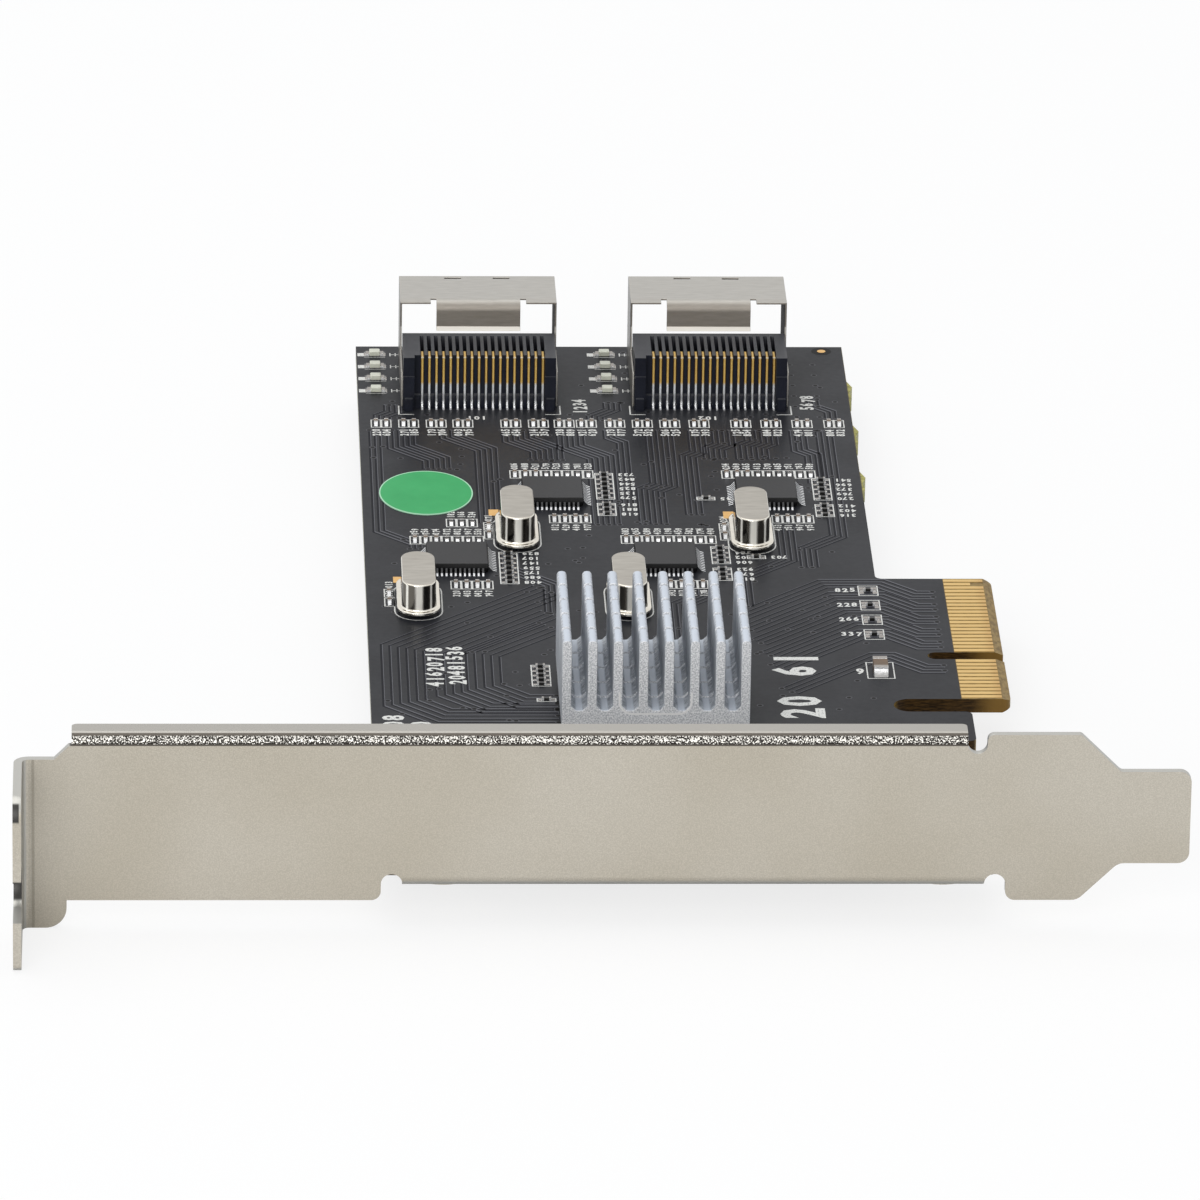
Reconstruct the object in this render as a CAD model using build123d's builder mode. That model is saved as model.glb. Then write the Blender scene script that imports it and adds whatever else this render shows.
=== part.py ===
from build123d import *
import os

os.makedirs("parts", exist_ok=True)

# A storage controller card, lying level with its components up. X runs into the expansion
# slot, Y from the bracket towards the free end, Z up out of the board. The origin is the
# middle of the edge connector's key notch, at the tip of its tongue and half way through
# the board.

# Board
board_thickness = 1.57
board_depth = 68.2
board_length = 149.1
tongue_reach = 12.6
tongue_near = 12.15
tongue_far = 22.15
tongue_corner = 1.0
tongue_bevel = 0.9
tongue_bevel_drop = 0.35
key_width = 1.9
key_depth = 8.2
ear_gap = 3.5
ear_length = 8.1
ear_setback = 4.4
ear_corner = 0.8
foot_length = 12.0
inner_round = 0.8
relief_round = 1.7
stub_places = (51.1, 65.4, 79.2)
stub_length = 6.0
stub_proud = 0.55

# Gold edge contacts
contact_pitch = 1.0
contact_width = 0.7
contact_length = 4.3
contact_setback = 0.95
contact_plating = 0.04
contacts_near = 11
contacts_far = 21
first_contact = 1.5
sense_setback = 1.4

# Bracket, one folded steel sheet
sheet = 0.86
bracket_to_key = 57.15
board_to_bend = 0.03
bracket_width = 18.42
bracket_top = 15.4
bracket_tip = 15.4
tip_width = 10.19
tip_bottom = 1.1
tip_corner = 1.2
shoulder_round = 1.5
shoulder_bend = 0.6
shoulder_inner = 3.95
shoulder_outer = 8.1
notch_x = -6.7
notch_width = 2.0
notch_depth = 2.1
notch_corner = 0.7
relief_width = 2.2
relief_corner = 1.0
relief_height = 2.9
flange_near_tip = -5.7
flange_length = 59.95
flange_depth = 3.4
flange_bend = 0.4
lip_start = -99.6
lip_depth = 3.0
lip_bend = 0.4
lip_corner = 0.6
tab_face = -104.67
tab_length = 11.43
tab_bend = 0.7
tab_top = 12.65
tab_bottom = -6.1
tab_corner = 2.2
tab_foot_corner = 0.8
tab_step = 1.8
lobe_right = -100.15
lobe_round = 2.2
tab_slot_width = 4.42
tab_slot_depth = 6.35
tab_slot_z = 1.55
ear_width = 8.0
ear_reach = 6.2

# Bracket screws
screw_diameter = 3.0
screw_hole = 3.2
screw_head = 5.6
screw_head_height = 1.9
screw_length = 3.2
screw_socket = 1.1
screw_from_bracket = 6.6
screw_from_flange_end = 4.2

# Four-lane drive connectors
connector_pitch = 26.1
connector_a_x = -54.55
connector_rear = 73.3
housing_step = 0.7
housing_depth = 7.9
housing_height = 6.2
cheek_width = 1.25
rear_recess = 0.9
ledge_height = 1.6
ledge_depth = 0.65
peg_inset = 0.15
peg_width = 0.9
peg_reach = 0.7
peg_height = 1.5
cheek_pad = 0.25
cheek_pad_height = 4.0
row_contacts = 18
row_pitch = 0.8
row_shift = 0.35
pin_width = 0.3
pin_thickness = 0.2
comb_width = 0.42
comb_depth = 6.1
comb_cut = 1.8
contact_reach = 2.0
nose_depth = 6.2
nose_wall = 0.6
nose_bottom = 0.3
nose_height = 3.25
slot_height = 1.5
slot_margin = 0.35
slot_root_depth = 1.0
blade_setback = 0.8
tail_reach = 1.1
shell_wall = 0.2
shell_height = 9.9
shell_depth = 8.6
shell_clearance = 0.05
shell_strip_height = 4.2
shell_tongue_width = 9.5
shell_notch = 0.65
shell_notch_depth = 1.3
shell_tongue_bend = 1.1
shell_tongue_gap = 0.4
shell_tongue_kick = 0.4
shell_slot_width = 1.9
shell_slot_from_middle = 2.75
shell_slot_setback = 0.5
shell_slot_depth = 0.5

# Four port controllers, quad flat packs with gull-wing leads
chip_size = 6.8
chip_height = 1.1
chip_standoff = 0.1
chip_draft = 0.12
leads_per_side = 12
lead_pitch = 0.5
lead_width = 0.2
lead_thickness = 0.12
lead_reach = 0.85
lead_foot = 0.42
chip_a_x = -58.1
chip_b_x = -47.1
chip_c_x = -35.3
chip_d_x = -23.4
chip_row_near = 27.05
chip_row_far = 46.7

# Quartz crystals
can_length = 10.2
can_width = 3.7
can_top = 3.9
flange_lap = 0.5
flange_thick = 0.35
base_thick = 0.5
base_width = 4.0
base_length = 8.8
crystal_x = (-62.6, -51.35, -39.75, -25.6)
crystal_y = (15.45, 35.2, 15.35, 34.75)

# Switch chip and heat sink
switch_x = -38.35
switch_y = -13.9
switch_size = 15.0
switch_height = 1.4
pad_size = 14.6
pad_height = 0.2
sink_size = 19.9
sink_top = 11.4
sink_base = 1.9
fin_count = 8
fin_thickness = 1.03
pin_rows = 5
cross_cut = 0.55
cross_depth = 0.25

# Small chip parts
small_length = 1.0
small_width = 0.5
resistor_height = 0.35
capacitor_height = 0.5
row_step = 1.17
column_step = 1.4
large_length = 3.2
large_width = 1.6
large_height = 1.0
large_end = 0.5
end_plating = 0.05
lamp_length = 2.0
lamp_width = 1.1
lamp_height = 0.6
lamp_end = 0.4
lamp_base = 0.25
lamp_step = 3.82

half = board_thickness / 2
free_edge = -board_depth
straight_edge = -tongue_reach
bracket_face = -bracket_to_key
bracket_back = bracket_face + sheet
near_end = bracket_back + flange_bend + board_to_bend
far_end = near_end + board_length
ear_far = -tongue_near - ear_gap
ear_near = ear_far - ear_length
tab_back = tab_face - sheet
tip_top = tip_bottom + tip_width
bracket_bottom = bracket_top - bracket_width
flange_far = flange_near_tip - flange_length
flange_bottom = -half - sheet
screw_y = bracket_face + screw_from_bracket
screw_places = (
    (flange_near_tip - screw_from_flange_end, screw_y),
    (flange_far + screw_from_flange_end, screw_y),
)
connector_places = (connector_a_x, connector_a_x + connector_pitch)
chip_places = (
    (chip_a_x, chip_row_near),
    (chip_b_x, chip_row_far),
    (chip_c_x, chip_row_near),
    (chip_d_x, chip_row_far),
)


def save(name, part):
    part.label = name
    export_step(part, f"parts/{name}.step")


def span_rectangle(x0, x1, y0, y1, corner=0.0, mode=Mode.ADD):
    """A rectangle between two corners, its corners rounded if asked."""
    with Locations(((x0 + x1) / 2, (y0 + y1) / 2)):
        if corner:
            RectangleRounded(x1 - x0, y1 - y0, corner, mode=mode)
        else:
            Rectangle(x1 - x0, y1 - y0, mode=mode)


# The board: its outline with the edge connector's tongue, the ear and the bracket's foot
root_overlap = 3.0
with BuildPart() as circuit_board:
    with BuildSketch(Plane.XY.offset(-half)) as outline:
        span_rectangle(free_edge, straight_edge, near_end, far_end)
        inside = straight_edge - root_overlap
        span_rectangle(inside, 0, -tongue_near, tongue_far, tongue_corner)
        span_rectangle(inside, -ear_setback, ear_near, ear_far, ear_corner)
        span_rectangle(inside, -ear_setback, near_end, near_end + foot_length, ear_corner)
        for radius, by_tongue in ((relief_round, True), (inner_round, False)):
            roots = [
                v
                for v in outline.vertices()
                if abs(v.X - straight_edge) < 0.01
                and near_end + 1 < v.Y < far_end - 1
                and (abs(v.Y + tongue_near + ear_gap / 2) < ear_gap) == by_tongue
            ]
            fillet(roots, radius)
        with Locations((key_width / 2 - key_depth, 0)):
            Circle(key_width / 2, mode=Mode.SUBTRACT)
        span_rectangle(key_width / 2 - key_depth, 1, -key_width / 2, key_width / 2, mode=Mode.SUBTRACT)
        for place in stub_places:
            with BuildLine():
                Polyline(
                    (straight_edge, place - stub_length / 2),
                    (straight_edge + stub_proud * 0.6, place - stub_length * 0.36),
                    (straight_edge + stub_proud * 0.25, place - stub_length * 0.1),
                    (straight_edge + stub_proud, place + stub_length * 0.2),
                    (straight_edge, place + stub_length / 2),
                    close=True,
                )
            make_face()
        with Locations(*screw_places):
            Circle(screw_hole / 2, mode=Mode.SUBTRACT)
    extrude(amount=board_thickness)
    bevel_start = -tongue_near - 1
    bevel_length = tongue_near + tongue_far + 2
    with BuildSketch(Plane.XZ.offset(-bevel_start)):
        with BuildLine():
            Polyline(
                (-tongue_bevel, half),
                (0, half - tongue_bevel_drop),
                (1, half - tongue_bevel_drop),
                (1, half + 1),
                (-tongue_bevel, half + 1),
                close=True,
            )
        make_face()
        mirror(about=Plane.XZ)
    extrude(amount=-bevel_length, mode=Mode.SUBTRACT)
save("circuit_board", circuit_board.part)


def contact_strips(side):
    """One face's gold contacts; the last but one at the far end is shorter at its tip."""
    places = [-first_contact - contact_pitch * i for i in range(contacts_near)]
    places += [first_contact + contact_pitch * i for i in range(contacts_far)]
    sense = first_contact + contact_pitch * (contacts_far - 2)
    base = half if side > 0 else -half - contact_plating
    inner = -contact_setback - contact_length
    with BuildPart() as strips:
        with BuildSketch(Plane.XY.offset(base)):
            for y in places:
                tip = -contact_setback
                if abs(y - sense) < contact_pitch / 2:
                    tip -= sense_setback
                span_rectangle(inner, tip, y - contact_width / 2, y + contact_width / 2)
        extrude(amount=contact_plating)
    return strips.part


save("edge_contacts_upper", contact_strips(1))
save("edge_contacts_lower", contact_strips(-1))


def folded_edge(start_x, edge_z, depth, bend, upward):
    """Section of a sheet folded back from the bracket's face, with its bend."""
    outer = bend + sheet
    turn = 1 if upward else -1
    centre = (bracket_face + outer, edge_z - turn * outer)
    start = 90 if upward else 180
    far = bracket_face + depth
    with BuildSketch(Plane.YZ.offset(start_x)) as section:
        with BuildLine():
            Line((centre[0], edge_z), (far, edge_z))
            Line((far, edge_z), (far, edge_z - turn * sheet))
            Line((far, edge_z - turn * sheet), (centre[0], edge_z - turn * sheet))
            CenterArc(centre, bend, start, 90)
            CenterArc(centre, outer, start, 90)
            Line((bracket_face, centre[1]), (bracket_back, centre[1]))
        make_face()
    return section.sketch


# The bracket: face, tab, stiffening lip along the top and board flange below
bend_left = tab_face + tab_bend
lip_level = bracket_top - lip_bend - sheet
flange_level = flange_bottom + flange_bend + sheet
with BuildPart() as bracket:
    with BuildSketch(Plane.XZ.offset(-bracket_back)) as face:
        with BuildLine():
            Polyline(
                (bend_left, tab_bottom),
                (bend_left, tab_top),
                (lip_start - tab_step, tab_top),
                (lip_start, tab_top + tab_step),
                (lip_start, bracket_top),
                (shoulder_inner, bracket_top),
                (shoulder_outer, tip_top),
                (bracket_tip, tip_top),
                (bracket_tip, tip_bottom),
                (shoulder_outer, tip_bottom),
                (shoulder_inner, bracket_bottom),
                (lobe_right, bracket_bottom),
                (lobe_right, tab_bottom),
                close=True,
            )
        make_face()
        corners = (
            (bracket_tip, tip_top, tip_corner),
            (bracket_tip, tip_bottom, tip_corner),
            (shoulder_inner, bracket_top, shoulder_bend),
            (shoulder_outer, tip_top, shoulder_bend),
            (shoulder_outer, tip_bottom, shoulder_round),
            (shoulder_inner, bracket_bottom, shoulder_round),
            (lobe_right, tab_bottom, lobe_round),
        )
        for corner_x, corner_z, radius in corners:
            fillet(face.vertices().sort_by_distance((corner_x, corner_z))[0], radius)
        lip_end = notch_x - notch_width / 2
        span_rectangle(lip_start - 1, lip_end, lip_level, bracket_top + 1, mode=Mode.SUBTRACT)
        notch_floor = bracket_top - notch_depth + notch_width / 2
        with Locations((notch_x, notch_floor)):
            Circle(notch_width / 2, mode=Mode.SUBTRACT)
        span_rectangle(lip_end, lip_end + notch_width, notch_floor, bracket_top + 1, mode=Mode.SUBTRACT)
        span_rectangle(
            flange_far, flange_near_tip, bracket_bottom - 1, flange_level, mode=Mode.SUBTRACT
        )
        for relief_x in (flange_near_tip + relief_width / 2, flange_far - relief_width / 2):
            relief_top = bracket_bottom + relief_height - relief_width / 2
            with Locations((relief_x, relief_top)):
                Circle(relief_width / 2, mode=Mode.SUBTRACT)
            span_rectangle(
                relief_x - relief_width / 2,
                relief_x + relief_width / 2,
                bracket_bottom - 1,
                relief_top,
                mode=Mode.SUBTRACT,
            )
        openings = (
            (lip_end + notch_width, bracket_top, notch_corner),
            (flange_far - relief_width, bracket_bottom, relief_corner),
            (flange_near_tip + relief_width, bracket_bottom, relief_corner),
        )
        for corner_x, corner_z, radius in openings:
            fillet(face.vertices().sort_by_distance((corner_x, corner_z))[0], radius)
    extrude(amount=sheet)
    extrude(folded_edge(lip_start, bracket_top, lip_depth, lip_bend, True), amount=lip_end - lip_start)
    for corner_x in (lip_start, lip_end):
        free_corner = (corner_x, bracket_face + lip_depth, bracket_top - sheet / 2)
        fillet(bracket.edges().filter_by(Axis.Z).sort_by_distance(free_corner)[0], lip_corner)
    extrude(folded_edge(flange_far, flange_bottom, flange_depth, flange_bend, False), amount=flange_length)
    with BuildSketch(Plane.XY.offset(flange_bottom)):
        for place in screw_places:
            ear_end = bracket_face + screw_from_bracket + ear_reach - ear_width / 2
            span_rectangle(
                place[0] - ear_width / 2,
                place[0] + ear_width / 2,
                bracket_face + flange_depth - 1,
                ear_end,
            )
            with Locations((place[0], ear_end - ear_width / 2)):
                Circle(ear_width / 2)
        with Locations(*screw_places):
            Circle(screw_diameter / 2, mode=Mode.SUBTRACT)
    extrude(amount=sheet)
    with BuildSketch(Plane.XY.offset(tab_bottom)):
        turn = (bend_left, bracket_face - tab_bend)
        with BuildLine():
            CenterArc(turn, tab_bend, 90, 90)
            Line((tab_face, turn[1]), (tab_back, turn[1]))
            CenterArc(turn, tab_bend + sheet, 90, 90)
            Line((bend_left, bracket_back), (bend_left, bracket_face))
        make_face()
    extrude(amount=tab_top - tab_bottom)
    with BuildSketch(Plane.YZ.offset(tab_back)) as tab:
        tab_end = bracket_face - tab_length
        span_rectangle(tab_end, turn[1], tab_bottom, tab_top)
        fillet(tab.vertices().sort_by_distance((tab_end, tab_top))[0], tab_corner)
        fillet(tab.vertices().sort_by_distance((tab_end, tab_bottom))[0], tab_foot_corner)
        slot_root = tab_end + tab_slot_depth - tab_slot_width / 2
        with Locations((slot_root, tab_slot_z)):
            Circle(tab_slot_width / 2, mode=Mode.SUBTRACT)
        span_rectangle(
            tab_end - 1,
            slot_root,
            tab_slot_z - tab_slot_width / 2,
            tab_slot_z + tab_slot_width / 2,
            mode=Mode.SUBTRACT,
        )
    extrude(amount=sheet)
save("bracket", bracket.part)

# Two pan-head screws through the board into the tapped ears
with BuildPart() as bracket_screws:
    for place in screw_places:
        with BuildSketch(Plane.XY.offset(half)):
            with Locations(place):
                Circle(screw_head / 2)
        extrude(amount=screw_head_height)
        with BuildSketch(Plane.XY.offset(half)):
            with Locations(place):
                Circle(screw_diameter / 2)
        extrude(amount=-screw_length)
        with BuildSketch(Plane.XY.offset(half + screw_head_height - screw_socket)):
            with Locations(place):
                Rectangle(screw_head * 0.55, screw_head * 0.13)
                Rectangle(screw_head * 0.13, screw_head * 0.55)
        extrude(amount=screw_socket, mode=Mode.SUBTRACT)
save("bracket_screws", bracket_screws.part)


# The drive connectors: moulded housing, folded shell and two rows of contacts each
housing_front = connector_rear + housing_depth
nose_front = housing_front + nose_depth
slot_bottom = half + nose_bottom + (nose_height - slot_height) / 2
slot_width = row_pitch * (row_contacts - 1) + pin_width + 2 * slot_margin
nose_width = slot_width + 2 * nose_wall
housing_width = nose_width + 2 * housing_step
blade_end = nose_front - blade_setback
comb_floor = connector_rear + rear_recess


def row_places(centre):
    """The contact places along X of one row."""
    first = centre + row_shift - row_pitch * (row_contacts - 1) / 2
    return [first + row_pitch * i for i in range(row_contacts)]


def connector_housing(centre):
    """The moulded body with its rear recess, contact comb and slotted nose."""
    left = centre - housing_width / 2
    right = centre + housing_width / 2
    with BuildPart() as housing:
        with BuildSketch(Plane.XY.offset(half)):
            span_rectangle(left, right, connector_rear, housing_front)
        extrude(amount=housing_height)
        with BuildSketch(Plane.XY.offset(half + nose_bottom)):
            span_rectangle(
                centre - nose_width / 2, centre + nose_width / 2, housing_front, nose_front
            )
        extrude(amount=nose_height)
        with BuildSketch(Plane.XY.offset(half)):
            span_rectangle(left + cheek_width, right - cheek_width, connector_rear, comb_floor)
        extrude(amount=housing_height, mode=Mode.SUBTRACT)
        with BuildSketch(Plane.XY.offset(half)):
            span_rectangle(left + cheek_width, right - cheek_width, comb_floor - ledge_depth, comb_floor)
        extrude(amount=ledge_height)
        with BuildSketch(Plane.XY.offset(half)):
            for start in (left, right - cheek_width):
                span_rectangle(start, start + cheek_width, connector_rear - cheek_pad, connector_rear)
        extrude(amount=cheek_pad_height)
        with BuildSketch(Plane.XY.offset(half)):
            for start in (left + peg_inset, right - peg_inset - peg_width):
                span_rectangle(start, start + peg_width, connector_rear - peg_reach, connector_rear)
        extrude(amount=peg_height)
        with BuildSketch(Plane.XY.offset(half)):
            for x in row_places(centre):
                span_rectangle(
                    x - comb_width / 2, x + comb_width / 2, connector_rear, comb_floor + pin_thickness
                )
        extrude(amount=housing_height, mode=Mode.SUBTRACT)
        with BuildSketch(Plane.XY.offset(half + housing_height - comb_cut)):
            for x in row_places(centre):
                span_rectangle(x - comb_width / 2, x + comb_width / 2, comb_floor, comb_floor + comb_depth)
        extrude(amount=housing_height, mode=Mode.SUBTRACT)
        with BuildSketch(Plane.XY.offset(slot_bottom)):
            span_rectangle(
                centre - slot_width / 2,
                centre + slot_width / 2,
                housing_front - slot_root_depth,
                nose_front,
            )
        extrude(amount=slot_height, mode=Mode.SUBTRACT)
    return housing.part


def connector_shell(centre):
    """The folded steel shell: two sides, the top plate, its slots and the sprung tongue."""
    inner = housing_width / 2 + shell_clearance
    outer = inner + shell_wall
    mouth = housing_front + shell_depth
    top = half + shell_height
    with BuildPart() as shell:
        for side in (-1, 1):
            with BuildSketch(Plane.YZ.offset(centre + side * inner)):
                span_rectangle(connector_rear + rear_recess, mouth, half, half + shell_strip_height)
                span_rectangle(housing_front, mouth, half, top)
            extrude(amount=side * shell_wall)
        with BuildSketch(Plane.XY.offset(top - shell_wall)):
            span_rectangle(centre - outer, centre + outer, housing_front, mouth)
            for side in (-1, 1):
                slot_x = centre + side * shell_slot_from_middle
                span_rectangle(
                    slot_x - shell_slot_width / 2,
                    slot_x + shell_slot_width / 2,
                    mouth - shell_slot_setback - shell_slot_depth,
                    mouth - shell_slot_setback,
                    mode=Mode.SUBTRACT,
                )
            cut_half = shell_tongue_width / 2 + shell_notch
            root = housing_front + shell_notch_depth
            span_rectangle(centre - cut_half, centre + cut_half, housing_front, root, mode=Mode.SUBTRACT)
        extrude(amount=shell_wall)
        with BuildSketch(Plane.YZ.offset(centre - shell_tongue_width / 2)) as tongue:
            tongue_end = half + housing_height + shell_tongue_gap
            kick = tongue_end + shell_tongue_kick
            with BuildLine():
                Polyline(
                    (root + shell_wall, top),
                    (housing_front, top),
                    (housing_front, kick),
                    (housing_front - shell_tongue_kick, tongue_end),
                    (housing_front - shell_tongue_kick + shell_wall, tongue_end),
                    (housing_front + shell_wall, kick),
                    (housing_front + shell_wall, top - shell_wall),
                    (root + shell_wall, top - shell_wall),
                    close=True,
                )
            make_face()
            outer_corner = tongue.vertices().sort_by_distance((housing_front, top))[0]
            fillet(outer_corner, shell_tongue_bend)
            inner_corner = tongue.vertices().sort_by_distance((housing_front + shell_wall, top - shell_wall))[0]
            fillet(inner_corner, shell_tongue_bend - shell_wall)
        extrude(amount=shell_tongue_width)
    return shell.part


def contact_row(contact, centre):
    """Copies of one contact at the row's pitch."""
    with BuildPart() as row:
        with Locations((centre, 0, 0)):
            with GridLocations(row_pitch, 0, row_contacts, 1):
                add(contact)
    return row.part


# A rear contact rises from its solder foot and turns over into the comb
contact_peak = half + housing_height - pin_width
contact_end = comb_floor + contact_reach
with BuildPart() as upper_contact:
    with BuildSketch(Plane.YZ.offset(-pin_width / 2)):
        with BuildLine():
            Polyline(
                (comb_floor - tail_reach, half),
                (comb_floor + pin_thickness, half),
                (comb_floor + pin_thickness, contact_peak - pin_thickness),
                (contact_end, contact_peak - pin_thickness),
                (contact_end, contact_peak),
                (comb_floor, contact_peak),
                (comb_floor, half + pin_thickness),
                (comb_floor - tail_reach, half + pin_thickness),
                close=True,
            )
        make_face()
    extrude(amount=pin_width)

# A front contact is a blade lying in the nose's slot, a fraction of the pitch aside
with BuildPart() as lower_contact:
    with BuildSketch(Plane.XY.offset(slot_bottom)):
        span_rectangle(-pin_width / 2, pin_width / 2, housing_front - slot_root_depth, blade_end)
    extrude(amount=pin_thickness)

for letter, connector_x in zip("ab", connector_places):
    save(f"connector_{letter}_housing", connector_housing(connector_x))
    save(f"connector_{letter}_shell", connector_shell(connector_x))
    save(f"connector_{letter}_upper_contacts", contact_row(upper_contact.part, connector_x + row_shift))
    save(f"connector_{letter}_lower_contacts", contact_row(lower_contact.part, connector_x))


waist = half + chip_standoff + (chip_height - chip_standoff) / 2


def chip_body(x, y):
    """A moulded pack with a little draft above and below its leads."""
    top = chip_size - 2 * chip_draft
    with BuildPart() as body:
        for level in (half + chip_standoff, half + chip_height):
            with BuildSketch(Plane.XY.offset(waist)):
                with Locations((x, y)):
                    Rectangle(chip_size, chip_size)
            with BuildSketch(Plane.XY.offset(level)):
                with Locations((x, y)):
                    Rectangle(top, top)
            loft()
    return body.part


# A gull-wing lead runs from the body's waist down to its foot on the board
body_edge = chip_size / 2
foot_end = body_edge + lead_reach
with BuildPart() as lead:
    with BuildSketch(Plane.XZ.offset(-lead_width / 2)):
        with BuildLine():
            Polyline(
                (body_edge, waist),
                (foot_end - lead_foot, half + lead_thickness),
                (foot_end, half),
                (foot_end - lead_foot, half),
                (body_edge, waist - lead_thickness),
                close=True,
            )
        make_face()
    extrude(amount=lead_width)


def chip_leads(x, y):
    """Copies of the lead along each of the four sides."""
    with BuildPart() as leads:
        with Locations((x, y, 0)):
            with PolarLocations(0, 4):
                with GridLocations(0, lead_pitch, 1, leads_per_side):
                    add(lead.part)
    return leads.part


for letter, chip_place in zip("abcd", chip_places):
    save(f"controller_{letter}_body", chip_body(*chip_place))
    save(f"controller_{letter}_leads", chip_leads(*chip_place))


# Four crystals: flanged steel can on an insulating base with two flat leads below
can_bottom = half + base_thick + flange_thick
with BuildPart() as crystal_cans:
    for crystal_place in zip(crystal_x, crystal_y):
        with BuildSketch(Plane.XY.offset(half + base_thick)):
            with Locations(crystal_place):
                SlotOverall(can_length + 2 * flange_lap, can_width + 2 * flange_lap, rotation=90)
        extrude(amount=flange_thick)
        with BuildSketch(Plane.XY.offset(can_bottom)):
            with Locations(crystal_place):
                SlotOverall(can_length, can_width, rotation=90)
        extrude(amount=half + can_top - can_bottom)
save("crystal_cans", crystal_cans.part)

with BuildPart() as crystal_bases:
    with BuildSketch(Plane.XY.offset(half)):
        for crystal_place in zip(crystal_x, crystal_y):
            with Locations(crystal_place):
                Rectangle(base_width, base_length)
    extrude(amount=base_thick)
save("crystal_bases", crystal_bases.part)

# Switch chip, adhesive pad and the heat sink with its cross-cut fins
with BuildPart() as switch_chip:
    with BuildSketch(Plane.XY.offset(half)):
        with Locations((switch_x, switch_y)):
            Rectangle(switch_size, switch_size)
    extrude(amount=switch_height)
save("switch_chip", switch_chip.part)

sink_floor = half + switch_height + pad_height
with BuildPart() as thermal_pad:
    with BuildSketch(Plane.XY.offset(half + switch_height)):
        with Locations((switch_x, switch_y)):
            Rectangle(pad_size, pad_size)
    extrude(amount=pad_height)
save("thermal_pad", thermal_pad.part)

groove = (sink_size - fin_count * fin_thickness) / (fin_count - 1)
fin_step = groove + fin_thickness
row_pitch_y = (sink_size + cross_cut) / pin_rows
with BuildPart() as heat_sink:
    with BuildSketch(Plane.XZ.offset(-switch_y - sink_size / 2)):
        left = switch_x - sink_size / 2
        span_rectangle(left, left + sink_size, sink_floor, half + sink_top)
        for i in range(fin_count - 1):
            centre = left + fin_thickness + groove / 2 + i * fin_step
            floor = sink_floor + sink_base + groove / 2
            with Locations((centre, floor)):
                RegularPolygon(groove / 2, 8, major_radius=False, rotation=22.5, mode=Mode.SUBTRACT)
            span_rectangle(
                centre - groove / 2, centre + groove / 2, floor, half + sink_top + 1, mode=Mode.SUBTRACT
            )
    extrude(amount=sink_size)
    with BuildSketch(Plane.XY.offset(sink_floor + sink_base - cross_depth)):
        for i in range(pin_rows - 1):
            cut_y = switch_y - sink_size / 2 + row_pitch_y * (i + 1) - cross_cut / 2
            with Locations((switch_x, cut_y)):
                Rectangle(sink_size + 2, cross_cut)
    extrude(amount=sink_top, mode=Mode.SUBTRACT)
save("heat_sink", heat_sink.part)


def row_of(x, y, count, step):
    return [(x + step * i, y) for i in range(count)]


def column_of(x, y, count, step):
    return [(x, y + step * i) for i in range(count)]


def placed(one, upright, across):
    """Copies of a chip part on the board: upright ones lie along Y, the others along X."""
    spots = [Location((x, y, half), (0, 0, 90)) for x, y in upright]
    spots += [Location((x, y, half)) for x, y in across]
    with BuildPart() as group:
        with Locations(*spots):
            add(one)
    return group.part


def plain_chip(height):
    """One of the smallest chip parts, a plain block along X."""
    with BuildPart() as chip:
        with BuildSketch():
            Rectangle(small_length, small_width)
        extrude(amount=height)
    return chip.part


def ended_chip(length, width, height, end_length, end_height):
    """A larger chip part along X, its plated ends at a height of their own."""
    end = length / 2
    with BuildPart() as chip:
        with BuildSketch(Plane.XZ.offset(-width / 2)):
            with BuildLine():
                Polyline(
                    (-end, 0),
                    (end, 0),
                    (end, end_height),
                    (end - end_length, end_height),
                    (end - end_length, height),
                    (end_length - end, height),
                    (end_length - end, end_height),
                    (-end, end_height),
                    close=True,
                )
            make_face()
        extrude(amount=width)
    return chip.part


# Pairs of coupling capacitors behind the connectors, in rows over each port's lanes
pair_starts = (-66.3, -63.2, -60.1, -57.1, -51.7, -48.6, -45.7, -43.2, -40.0, -36.9, -33.8, -30.5)
pair_starts += (-25.8, -22.4, -18.9, -15.3)
pair_row = 68.8
coupling = [(start + row_step * j, pair_row) for start in pair_starts for j in range(2)]
save("coupling_capacitors", placed(plain_chip(capacitor_height), coupling, []))

# Decoupling capacitors beside the controllers
decoupling = row_of(-51.1, 53.2, 3, row_step)
decoupling += row_of(-27.5, 53.2, 3, row_step)
decoupling += row_of(-62.6, 33.4, 3, row_step)
decoupling += row_of(-39.4, 33.6, 3, row_step)
for start in ((-47.1, 39.7), (-22.5, 39.7), (-58.4, 20.2), (-35.0, 20.4)):
    decoupling += row_of(start[0], start[1], 4, row_step)
decoupling += column_of(-54.4, 34.9, 2, 2.6) + column_of(-28.45, 34.6, 2, 2.6)
decoupling += column_of(-65.7, 15.2, 2, 2.6)
save("decoupling_capacitors", placed(plain_chip(capacitor_height), decoupling, []))

# Resistors: upright rows over the controllers, and columns beside them
upright = row_of(-51.1 + 3 * row_step, 53.2, 5, row_step)
upright += row_of(-27.5 + 3 * row_step, 53.2, 6, row_step)
upright += row_of(-62.6 + 3 * row_step, 33.4, 4, row_step)
upright += row_of(-39.4 + 3 * row_step, 33.6, 6, row_step)
upright += row_of(-58.5, 38.5, 3, row_step)
across = column_of(-41.2, 41.2, 3, column_step) + column_of(-41.2, 46.1, 6, column_step)
across += column_of(-17.1, 40.9, 3, column_step) + column_of(-17.1, 45.9, 5, column_step)
across += column_of(-52.5, 21.0, 7, column_step)
across += column_of(-29.2, 22.0, 3, column_step) + column_of(-29.2, 26.9, 4, column_step)
across += column_of(-49.9, -8.2, 5, 1.25) + [(-49.5, -12.5), (-25.3, 28.4), (-30.1, 45.9)]
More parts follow.
